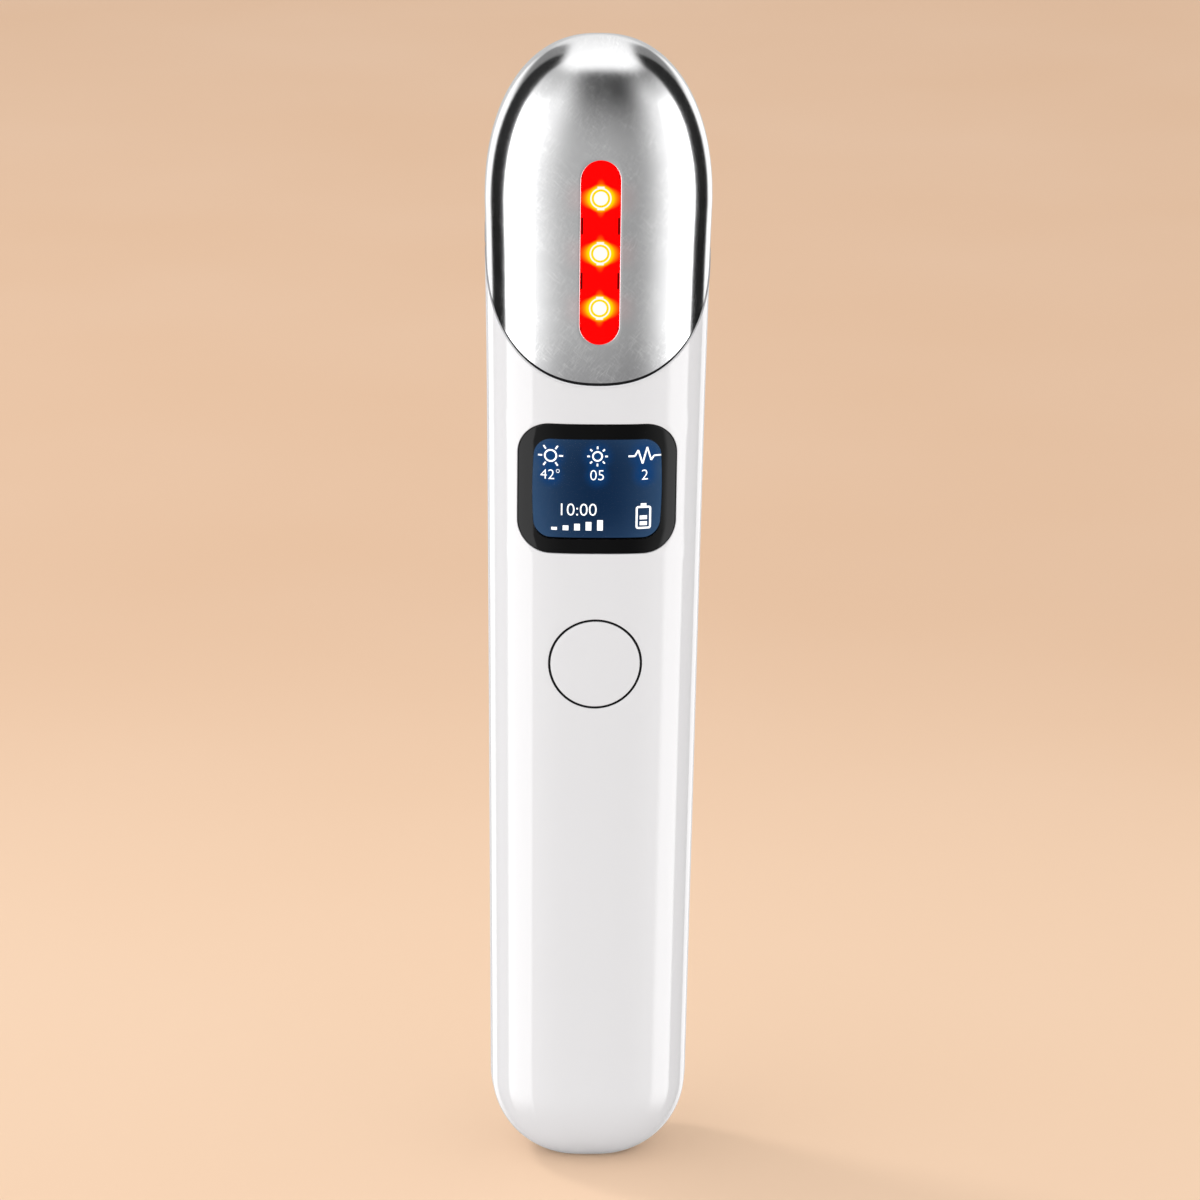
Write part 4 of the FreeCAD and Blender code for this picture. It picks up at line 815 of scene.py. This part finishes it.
def first_ring(bm, outline, place, count=RING_CORNERS):
    """Loop of edges on an outline, each corner at a place worked out from x and z."""
    corners = bmesh.ops.create_circle(bm, segments=count, radius=1.0)["verts"]
    for index, corner in enumerate(corners):
        corner.co = place(*outline.walk(index / count))
    return list({edge for corner in corners for edge in corner.link_edges})


def fill_inward(bm, rim, centre, place):
    """Close a rim with ever smaller rings that follow a curved face."""
    for left in range(FILL_RINGS, 0, -1):
        share = (left - 0.5) / (left + 0.5)
        rim = grow(bm, rim, lambda co, share=share:
                   place(co.x * share, centre + (co.z - centre) * share))
    bmesh.ops.edgeloop_fill(bm, edges=rim)


def back_face(bm, outline, place):
    """Closed face on an outline, and the loop of edges round it."""
    rim = first_ring(bm, outline, place)
    fill_inward(bm, rim, outline.centre, place)
    return rim


def flush_face(bm, rim, outline, side=FRONT, radius=EDGE_RADIUS):
    """Carry a rim up to the skin, round its edge over and close it with a face along the skin."""
    for step in range(EDGE_STEPS + 1):
        angle = step / EDGE_STEPS * math.pi / 2.0

        def rounded(co, angle=angle):
            x, z = outline.at(co.x, co.z, -radius * (1.0 - math.cos(angle)))
            return on_skin(x, z, radius * (1.0 - math.sin(angle)), side)
        rim = grow(bm, rim, rounded)
    fill_inward(bm, rim, outline.centre, lambda x, z: on_skin(x, z, side=side))


def flat(y):
    return lambda x, z: Vector((x, y, z))


window_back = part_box("light_window")[1].y / MM
flange_size = size_of("light_window")
flange = Outline(flange_size.x / 2.0, flange_size.z / 2.0, window_height)
window = Outline(SLOT_HALF_WIDTH - FIT, SLOT_HALF_LENGTH - FIT, window_height)

bm = bmesh.new()
rim = back_face(bm, flange, flat(window_back))
rim = grow(bm, rim, lambda co: on_skin(co.x, co.z, inset=HEAD_WALL))
rim = grow(bm, rim, lambda co: on_skin(*window.at(co.x, co.z), inset=HEAD_WALL))
flush_face(bm, rim, window, radius=FINE_EDGE)

RED = (1.0, 0.0, 0.0)
DARK_RED = (0.10, 0.0, 0.0)
ORANGE = (1.0, 0.28, 0.0)
YELLOW = (1.0, 0.74, 0.0)
WHITE = (1.0, 1.0, 0.97)
END_TEETH = 9.3                 # height of the outermost teeth above and below the row's middle

red_lens, shader, sockets = surface("RedLens", Roughness=0.12, Specular_IOR_Level=0.05,
                                    Emission_Strength=1.0)
# Painted light: the lens is no lamp, but its emission paints the LEDs' glow onto it, and the teeth mask
# paints the teeth's shade in dark red into both its glow and its base colour.
aside, above, to_lamp = about_lamps(shader)
away = (aside * aside + to_lamp * to_lamp) ** 0.5
wide_glow = ((aside * aside * 0.30 + to_lamp * to_lamp) ** 0.5).step(1.55, 0.60)
tall_glow = ((aside * aside * 2.5 + to_lamp * to_lamp * 0.30) ** 0.5).step(1.35, 0.60)
near_glow = away.step(1.80, 1.22)
white_spot = away.step(1.30, 1.24)
yellow_ring = away.band(0.84, 1.10, 0.02)
painted_tab_light = aside.step(0.50, 0.34) * to_lamp.step(1.46, 1.36)
between = abs(abs(above) - LED_PITCH / 2.0).step(1.10, 0.95)
beyond = abs(abs(above) - END_TEETH).step(0.45, 0.25) * 0.5
painted_teeth_shade = (between + beyond).least(1.0) * aside.step(2.04, 2.12) * aside.step(2.34, 2.30)
light = shader.blend(tall_glow * 0.7, RED, ORANGE)
light = shader.blend(wide_glow, light, shader.blend(aside.step(1.2, 2.3), YELLOW, ORANGE))
light = shader.blend(near_glow, light, YELLOW)
light = shader.blend((painted_tab_light + white_spot).least(1.0), light, WHITE)
light = shader.blend(yellow_ring, light, YELLOW)
light = shader.blend(painted_teeth_shade, light, DARK_RED)
tint(shader, sockets, painted_teeth_shade, (0.35, 0.0, 0.0), (0.02, 0.0, 0.0))
shader.feed(sockets["Emission Color"], light)
make_piece("LightWindow", bm, red_lens, "body", "red_lens", "light_window")

# ------------------------------------------------------------------ LEDs
# Three domed LEDs soldered in a row on a small board, inside a white reflector frame whose teeth
# stand between them. The frame presses against the window's flange.

DOME_FOOT = -7.5                # the domes stand in front of this depth, and their packages behind it

led_finish, shader, sockets = surface("LedDome", Roughness=0.15, Emission_Strength=1.0)
_, y, _ = place_in_mm(shader)
aside, _, to_lamp = about_lamps(shader)
lit = ((aside * aside + to_lamp * to_lamp) ** 0.5).step(1.15, 1.05) * y.step(DOME_FOOT, DOME_FOOT - 0.2)
tint(shader, sockets, lit, (0.80, 0.80, 0.78), (0.9, 0.3, 0.2))
shader.feed(sockets["Emission Color"], shader.blend(lit, (0.0, 0.0, 0.0), (1.0, 0.35, 0.2)))
finish_nodes(led_finish, "light_leds")

reflector_finish, shader, sockets = surface("ReflectorWhite", Roughness=0.3)
mottle(shader, sockets, 2.0, (0.80, 0.80, 0.79), (0.84, 0.84, 0.83))
finish_nodes(reflector_finish, "light_reflector")

circuit_board, shader, sockets = surface("CircuitBoard")
routes = (speckle(shader, 4.0, 1.0) * 9.0).math("FRACT").band(0.42, 0.58, 0.04)
tint(shader, sockets, routes, (0.010, 0.085, 0.035), (0.030, 0.150, 0.065))
shader.feed(sockets["Roughness"], 0.30 + 0.10 * speckle(shader, 0.8))
finish_nodes(circuit_board, "led_board", "main_board", "port_board")

# ------------------------------------------------------------------ hand contact
# Strip of the same satin metal let into the back of the handle. It closes the pulse current's
# path through the hand that holds the wand.

OVER_RECESS = 0.01              # gap between the strip and the recess that it lies in
POST_RADIUS = 1.2
POST_DROP = 5.0                 # from the strip's upper end to its post's axis
POST_SINK = 0.2                 # the post ends inside the strip
contact = Outline(contact_half, contact_size.z / 2.0, contact_height)
post_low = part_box("hand_contact")[0].y / MM
post_high = BASE_HALF_DEPTH - POST_SINK

bm = bmesh.new()
rim = back_face(bm, contact, lambda x, z: on_skin(x, z, CONTACT_THICKNESS - OVER_RECESS, BACK))
flush_face(bm, rim, contact, BACK)
post_height = contact_height + contact_size.z / 2.0 - POST_DROP
post_middle = Vector((0.0, (post_low + post_high) / 2.0, post_height))
bmesh.ops.create_cone(bm, cap_ends=True, segments=32, radius1=POST_RADIUS, radius2=POST_RADIUS,
                      depth=post_high - post_low,
                      matrix=Matrix.Translation(post_middle) @ Matrix.Rotation(math.pi / 2.0, 4, "X"))
make_piece("HandContact", bm, contact_metal, "body", "head_metal", "hand_contact")

# ------------------------------------------------------------------ display
# Smoked window with a black printed border, glued into the front shell. Behind it glows a small
# screen: navy, paler toward its sides by a painted reflection, with white marks for warmth, light, pulse
# and battery.

GLASS_THICKNESS = 0.7
PANEL_SINK = 0.80
PANEL_BACK = 0.95
MARK_FRONT = 0.74
MARK_BACK = 0.79
ACTIVE_HALF_X = 7.9
ACTIVE_HALF_Z = 6.3
ACTIVE_CORNER = 2.0
lens = Outline(lens_size.x / 2.0, lens_size.z / 2.0, lens_height, LENS_CORNER)

bm = bmesh.new()
rim = back_face(bm, lens, lambda x, z: on_skin(x, z, GLASS_THICKNESS))
flush_face(bm, rim, lens)

display_glass, shader, sockets = surface("DisplayGlass", Roughness=0.06, Specular_IOR_Level=0.16)
x, _, z = place_in_mm(shader)


def active_area(x, z, soft):
    """1 inside the lit area, whose sides bulge and whose corners are large and soft."""
    bulge = (1.0 - ((z - lens_height) / ACTIVE_HALF_Z) ** 2.0 * 0.04)
    off_x = (abs(x) / bulge - (ACTIVE_HALF_X - ACTIVE_CORNER)).most(0.0)
    off_z = (abs(z - lens_height) - (ACTIVE_HALF_Z - ACTIVE_CORNER)).most(0.0)
    return ((off_x * off_x + off_z * off_z) ** 0.5).step(ACTIVE_CORNER + soft, ACTIVE_CORNER - soft)


mottle(shader, sockets, 3.0, (0.0006, 0.0006, 0.0008), (0.0010, 0.0010, 0.0012))
shader.feed(sockets["Alpha"], 1.0 - 0.94 * active_area(x, z, 0.06))
make_piece("DisplayLens", bm, display_glass, "body", "display_glass", "display_lens")

PANEL_MARGIN = 0.5
panel = Outline(ACTIVE_HALF_X + PANEL_MARGIN, ACTIVE_HALF_Z + PANEL_MARGIN, lens_height, ACTIVE_CORNER)

bm = bmesh.new()
rim = back_face(bm, panel, lambda x, z: on_skin(x, z, PANEL_BACK))
rim = grow(bm, rim, lambda co: on_skin(co.x, co.z, PANEL_SINK))
fill_inward(bm, rim, lens_height, lambda x, z: on_skin(x, z, PANEL_SINK))

MARK_ROW = 4.0                  # heights of the marks and figures above the display's centre
FIGURE_ROW = 1.55
HEAT_X = -5.7
LIGHT_X = 0.0
PULSE_X = 5.8
CLOCK_PLACE = (-2.4, -2.85)
BATTERY_X = 5.7
BATTERY_ROW = -3.8
NAVY = (0.0058, 0.0235, 0.066)
PAINTED_REFLECTION_NAVY = (0.040, 0.090, 0.185)
GLOW_BLUE = (0.003, 0.055, 0.21)

lit_screen, shader, sockets = surface("LitScreen", Roughness=0.5, Specular_IOR_Level=0.0,
                                      Emission_Strength=1.0)
x, _, z = place_in_mm(shader)
rise = z - lens_height
# Painted reflection: the screen's glow pales toward its sides, and a little toward its top and bottom,
# for the studio light mirrored in the curved glass at its edges.
toward_side = abs(x / ACTIVE_HALF_X) ** 2.4 + abs(rise / ACTIVE_HALF_Z) ** 3.0 * 0.30
painted_edge_reflection = (toward_side * (0.75 + 0.5 * speckle(shader, 5.0))).least(1.0)


def halo(from_x, from_z, reach):
    """Soft round glow about a mark."""
    off_x = x - from_x
    off_z = rise - from_z
    return ((off_x * off_x + off_z * off_z) ** 0.5).step(reach, 0.4)


halos = halo(HEAT_X, MARK_ROW, 2.4) + halo(LIGHT_X, MARK_ROW, 2.4) + halo(PULSE_X, MARK_ROW, 2.6)
for mark_x in (HEAT_X, LIGHT_X, PULSE_X):
    halos = halos + halo(mark_x, FIGURE_ROW, 2.0)
screen_colour = shader.blend(painted_edge_reflection, NAVY, PAINTED_REFLECTION_NAVY)
shader.feed(sockets["Emission Color"], shader.blend(halos.least(1.0) * 0.75, screen_colour, GLOW_BLUE))
shader.feed(sockets["Base Color"], (0.002, 0.003, 0.006))
make_piece("DisplayScreen", bm, lit_screen, "body", "display_panel")

STROKE = 0.20
BAND_CORNERS = 48
SIZE_PER_HEIGHT = 1.38          # the font's size for each millimetre of a figure's height
LEVEL_COUNT = 5                 # bars in a row that shows the strength
LEVEL_X = -5.2
LEVEL_FOOT = -5.40
LEVEL_PITCH = 1.4
LEVEL_WIDTH = 0.7
LEVEL_LOWEST = 0.35
LEVEL_STEP = 0.24


def bar(bm, start, end, width=STROKE):
    """Straight stroke between two places on the plane of the marks."""
    start, end = Vector(start), Vector(end)
    way = end - start
    middle = (start + end) / 2.0
    spot = Matrix.Translation((middle.x, middle.y, 0.0))
    turned = Matrix.Rotation(math.atan2(way.y, way.x), 4, "Z")
    bmesh.ops.create_grid(bm, x_segments=4, y_segments=1, size=0.5,
                          matrix=spot @ turned @ Matrix.Diagonal((way.length, width, 1.0, 1.0)))


def band(bm, outline, centre_x, width=STROKE):
    """Closed stroke inside a rounded outline."""
    def place(x, z):
        return Vector((centre_x + x, z, 0.0))

    rim = first_ring(bm, outline, place, BAND_CORNERS)
    grow(bm, rim, lambda co: place(*outline.at(co.x - centre_x, co.y, -width)))


def rays(bm, centre, near, far, turns):
    for turn in turns:
        way = Vector((math.cos(math.radians(turn)), math.sin(math.radians(turn))))
        bar(bm, centre + way * near, centre + way * far)


def figures(bm, words, centre, height):
    """Text in plain strokes about a place."""
    curve = bpy.data.curves.new(words, "FONT")
    curve.body = words
    curve.size = height * SIZE_PER_HEIGHT
    curve.offset = -0.02
    curve.align_x = "CENTER"
    curve.align_y = "CENTER"
    item = bpy.data.objects.new(words, curve)
    mesh = bpy.data.meshes.new_from_object(item)
    mesh.transform(Matrix.Translation((centre[0], centre[1], 0.0)))
    bm.from_mesh(mesh)
    bpy.data.objects.remove(item)
    bpy.data.meshes.remove(mesh)
    bpy.data.curves.remove(curve)


bm = bmesh.new()
band(bm, Outline(0.80, 0.80, MARK_ROW), HEAT_X)
rays(bm, Vector((HEAT_X, MARK_ROW)), 1.02, 1.52, (0.0, 55.0, 125.0, 180.0, 235.0, 305.0))
band(bm, Outline(0.66, 0.66, MARK_ROW), LIGHT_X)
rays(bm, Vector((LIGHT_X, MARK_ROW)), 0.92, 1.25, range(0, 360, 45))
pulse = [(-2.05, 0.0), (-1.25, 0.0), (-0.85, 0.75), (-0.30, -0.95), (0.25, 1.10), (0.75, -0.55),
         (1.10, 0.0), (2.05, 0.0)]
for start, end in zip(pulse, pulse[1:]):
    bar(bm, (PULSE_X + start[0], MARK_ROW + start[1]), (PULSE_X + end[0], MARK_ROW + end[1]))
figures(bm, "42°", (HEAT_X, FIGURE_ROW), 1.30)
figures(bm, "05", (LIGHT_X, FIGURE_ROW), 1.35)
figures(bm, "2", (PULSE_X, FIGURE_ROW), 1.35)
figures(bm, "10:00", CLOCK_PLACE, 1.6)
for step in range(LEVEL_COUNT):
    x = LEVEL_X + step * LEVEL_PITCH
    bar(bm, (x, LEVEL_FOOT), (x, LEVEL_FOOT + LEVEL_LOWEST + LEVEL_STEP * step), LEVEL_WIDTH)
band(bm, Outline(0.95, 1.45, BATTERY_ROW, 0.30), BATTERY_X, 0.24)
for z, half, width in ((-2.18, 0.35, 0.34), (-4.55, 0.45, 0.48), (BATTERY_ROW, 0.45, 0.48)):
    bar(bm, (BATTERY_X - half, z), (BATTERY_X + half, z), width)
for corner in bm.verts:
    corner.co = on_skin(corner.co.x, corner.co.y + lens_height, MARK_BACK)
raised_marks = bmesh.ops.extrude_face_region(bm, geom=bm.faces[:])["geom"]
for item in raised_marks:
    if isinstance(item, bmesh.types.BMVert):
        item.co.y -= MARK_BACK - MARK_FRONT

white_light, shader, sockets = surface("WhiteMarks", Roughness=0.5, Specular_IOR_Level=0.0,
                                       Emission_Strength=1.0)
shader.feed(sockets["Base Color"], (0.8, 0.8, 0.8))
shader.feed(sockets["Emission Color"],
            shader.blend(speckle(shader, 4.0), (0.92, 0.97, 1.0), (1.0, 1.0, 1.0)))
make_piece("DisplayMarks", bm, white_light, "body", "display_panel")

black_tape, shader, sockets = surface("BlackTape", Roughness=0.7)
mottle(shader, sockets, 0.8, (0.010, 0.010, 0.010), (0.020, 0.020, 0.020))
finish_nodes(black_tape, "display_adhesive")

dark_panel, shader, sockets = surface("DarkPanel", Roughness=0.35)
mottle(shader, sockets, 2.0, (0.012, 0.013, 0.016), (0.022, 0.023, 0.027))
finish_nodes(dark_panel, "display_module")

ribbon_finish, shader, sockets = surface("RibbonFilm")
x, _, _ = place_in_mm(shader)
wires = (x * (2.0 * math.pi / 0.5)).math("SINE").step(0.1, 0.4)
tint(shader, sockets, wires, POLYIMIDE, TRACK)
shader.feed(sockets["Roughness"], 0.32 + 0.10 * speckle(shader, 1.0))
finish_nodes(ribbon_finish, "display_ribbon", "head_ribbon")

# ------------------------------------------------------------------ power key
# Round key of the handle's white ABS, flush with the front. Its flange stops it behind the shell
# and its stem presses the switch. It slides in by 0.4 mm.

FLANGE_THICKNESS = 0.8
STEM_RADIUS = 1.7
FLANGE_GAP = 0.1                # between the shell's inner face and the flange
key_size = size_of("power_button")
stem_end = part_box("power_button")[1].y / MM
flange_radius = key_size.x / 2.0
collar_reach = flange_radius + FLANGE_THICKNESS
flange_front = FLANGE_GAP + on_skin(collar_reach, key_height, inset=WALL).y
key_face = Outline(KEY_RADIUS, KEY_RADIUS, key_height)
stem = Outline(STEM_RADIUS, STEM_RADIUS, key_height)
key_flange = Outline(flange_radius, flange_radius, key_height)

bm = bmesh.new()
rim = back_face(bm, stem, flat(stem_end))
steps = [(stem, flange_front + FLANGE_THICKNESS), (key_flange, flange_front + FLANGE_THICKNESS),
         (key_flange, flange_front), (key_face, flange_front)]
for outline, y in steps:
    rim = grow(bm, rim, lambda co, outline=outline, y=y: flat(y)(*outline.at(co.x, co.z)))
flush_face(bm, rim, key_face, radius=FINE_EDGE)
make_piece("PowerKey", bm, white_plastic, "button", "body_gloss", "power_button")

# Painted shade: a black rubber ring set in the key's gap, from just under the surface, stands in for the
# shade there and draws the gap round the key dark.
SHADE_RING_WIDTH = 0.25               # soft ring round the key, let into the hole's wall
SHADE_RING_TOP = 0.10
SHADE_RING_BOTTOM = 1.30
SHADE_RING_RADIUS = KEY_RADIUS + KEY_GAP - 0.01
shade_ring_outer = Outline(SHADE_RING_RADIUS, SHADE_RING_RADIUS, key_height)

bm = bmesh.new()
rim = first_ring(bm, shade_ring_outer, lambda x, z: on_skin(x, z, SHADE_RING_TOP))
rim = grow(bm, rim, lambda co: on_skin(co.x, co.z, SHADE_RING_BOTTOM))
rim = grow(bm, rim, lambda co: on_skin(*shade_ring_outer.at(co.x, co.z, -SHADE_RING_WIDTH), SHADE_RING_BOTTOM))
rim = grow(bm, rim, lambda co: on_skin(co.x, co.z, SHADE_RING_TOP))
rim = grow(bm, rim, lambda co: on_skin(*shade_ring_outer.at(co.x, co.z), SHADE_RING_TOP))
bmesh.ops.remove_doubles(bm, verts=bm.verts, dist=MERGE)
make_piece("KeyShadeRing", bm, black_rubber, "body", "black_rubber")

black_plastic, shader, sockets = surface("BlackPlastic")
mottle(shader, sockets, 0.6, (0.012, 0.012, 0.013), (0.024, 0.024, 0.025), 4.0)
shader.feed(sockets["Roughness"], 0.38 + 0.14 * speckle(shader, 0.3, 3.0))
finish_nodes(black_plastic, "tact_switch", "switch_plunger")

# ------------------------------------------------------------------ main board
# Board with the processor, the pulse driver and its transformer, screwed to four bosses of the
# front shell. Sockets take the ribbons of the display and of the head.

finish_nodes(black_plastic, "controller_chips", "pulse_transformer", "board_connectors")
finish_nodes(bare_steel, "board_screws")

# ------------------------------------------------------------------ battery
# Round lithium cell in a blue shrink sleeve with bare ends. It lies in a grey cradle and a foam
# pad presses it home.

BARE_END = 1.2
battery_middle = centre_of("battery_cell").z
sleeve_half = size_of("battery_cell").z / 2.0 - BARE_END

battery_can, shader, sockets = surface("BatteryCan", Roughness=0.3)
_, _, z = place_in_mm(shader)
bare = abs(z - battery_middle).step(sleeve_half - 0.05, sleeve_half + 0.05)
sleeve = shader.blend(speckle(shader, 3.0), (0.015, 0.075, 0.26), (0.020, 0.095, 0.31))
tint(shader, sockets, bare, sleeve, (0.62, 0.61, 0.60))
shader.feed(sockets["Metallic"], bare)
finish_nodes(battery_can, "battery_cell")
finish_nodes(carrier_plastic, "battery_cradle")

grey_foam, shader, sockets = surface("GreyFoam", Roughness=0.95)
pores = speckle(shader, 0.25, 4.0)
tint(shader, sockets, pores, (0.05, 0.05, 0.055), (0.12, 0.12, 0.125))
shader.feed(sockets["Normal"], shader.node("Bump", {}, Strength=0.6, Distance=0.05 * MM, Height=pores))
finish_nodes(grey_foam, "battery_pad")

# ------------------------------------------------------------------ charging port
# Stainless socket in the foot, soldered to its own small board on two screws. Its black tongue
# carries gold-plated contacts on both faces.

finish_nodes(bare_steel, "port_shell", "port_screws")
finish_nodes(black_plastic, "port_tongue")

CONTACT_PITCH = 0.5
CONTACT_COUNT = 12
STRIP_SIZE = (0.26, 0.03, 4.2)
STRIP_INSET = 0.35              # from the tongue's tip to the strips
tongue_low, tongue_high = (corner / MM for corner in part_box("port_tongue"))
strip_height = tongue_low.z + STRIP_INSET + STRIP_SIZE[2] / 2.0

bm = bmesh.new()
for index in range(CONTACT_COUNT):
    for y in (tongue_low.y, tongue_high.y):
        x = (index - (CONTACT_COUNT - 1) / 2.0) * CONTACT_PITCH
        spot = Matrix.Translation((x, y, strip_height)) @ Matrix.Diagonal((*STRIP_SIZE, 1.0))
        bmesh.ops.create_cube(bm, size=1.0, matrix=spot)

gold, shader, sockets = surface("GoldPlate", Metallic=1.0)
mottle(shader, sockets, 0.8, (0.80, 0.56, 0.22), (0.88, 0.64, 0.28))
shader.feed(sockets["Roughness"], 0.22 + 0.10 * speckle(shader, 0.5))
make_piece("PortContacts", bm, gold, "body", "steel")

# ------------------------------------------------------------------ leads
# Stranded copper leads in silicone insulation: black on the left, red on the right. They run from
# the port past the battery to the board, and on to the motor and the hand contact.

lead_insulation, shader, sockets = surface("LeadInsulation", Roughness=0.45)
x, _, _ = place_in_mm(shader)
black_lead = shader.blend(speckle(shader, 1.0), (0.012, 0.012, 0.012), (0.022, 0.022, 0.022))
red_lead = shader.blend(speckle(shader, 1.0), (0.42, 0.012, 0.010), (0.50, 0.020, 0.015))
tint(shader, sockets, x.step(-0.02, 0.02), black_lead, red_lead)
finish_nodes(lead_insulation, "battery_leads", "port_leads", "motor_leads", "contact_lead")
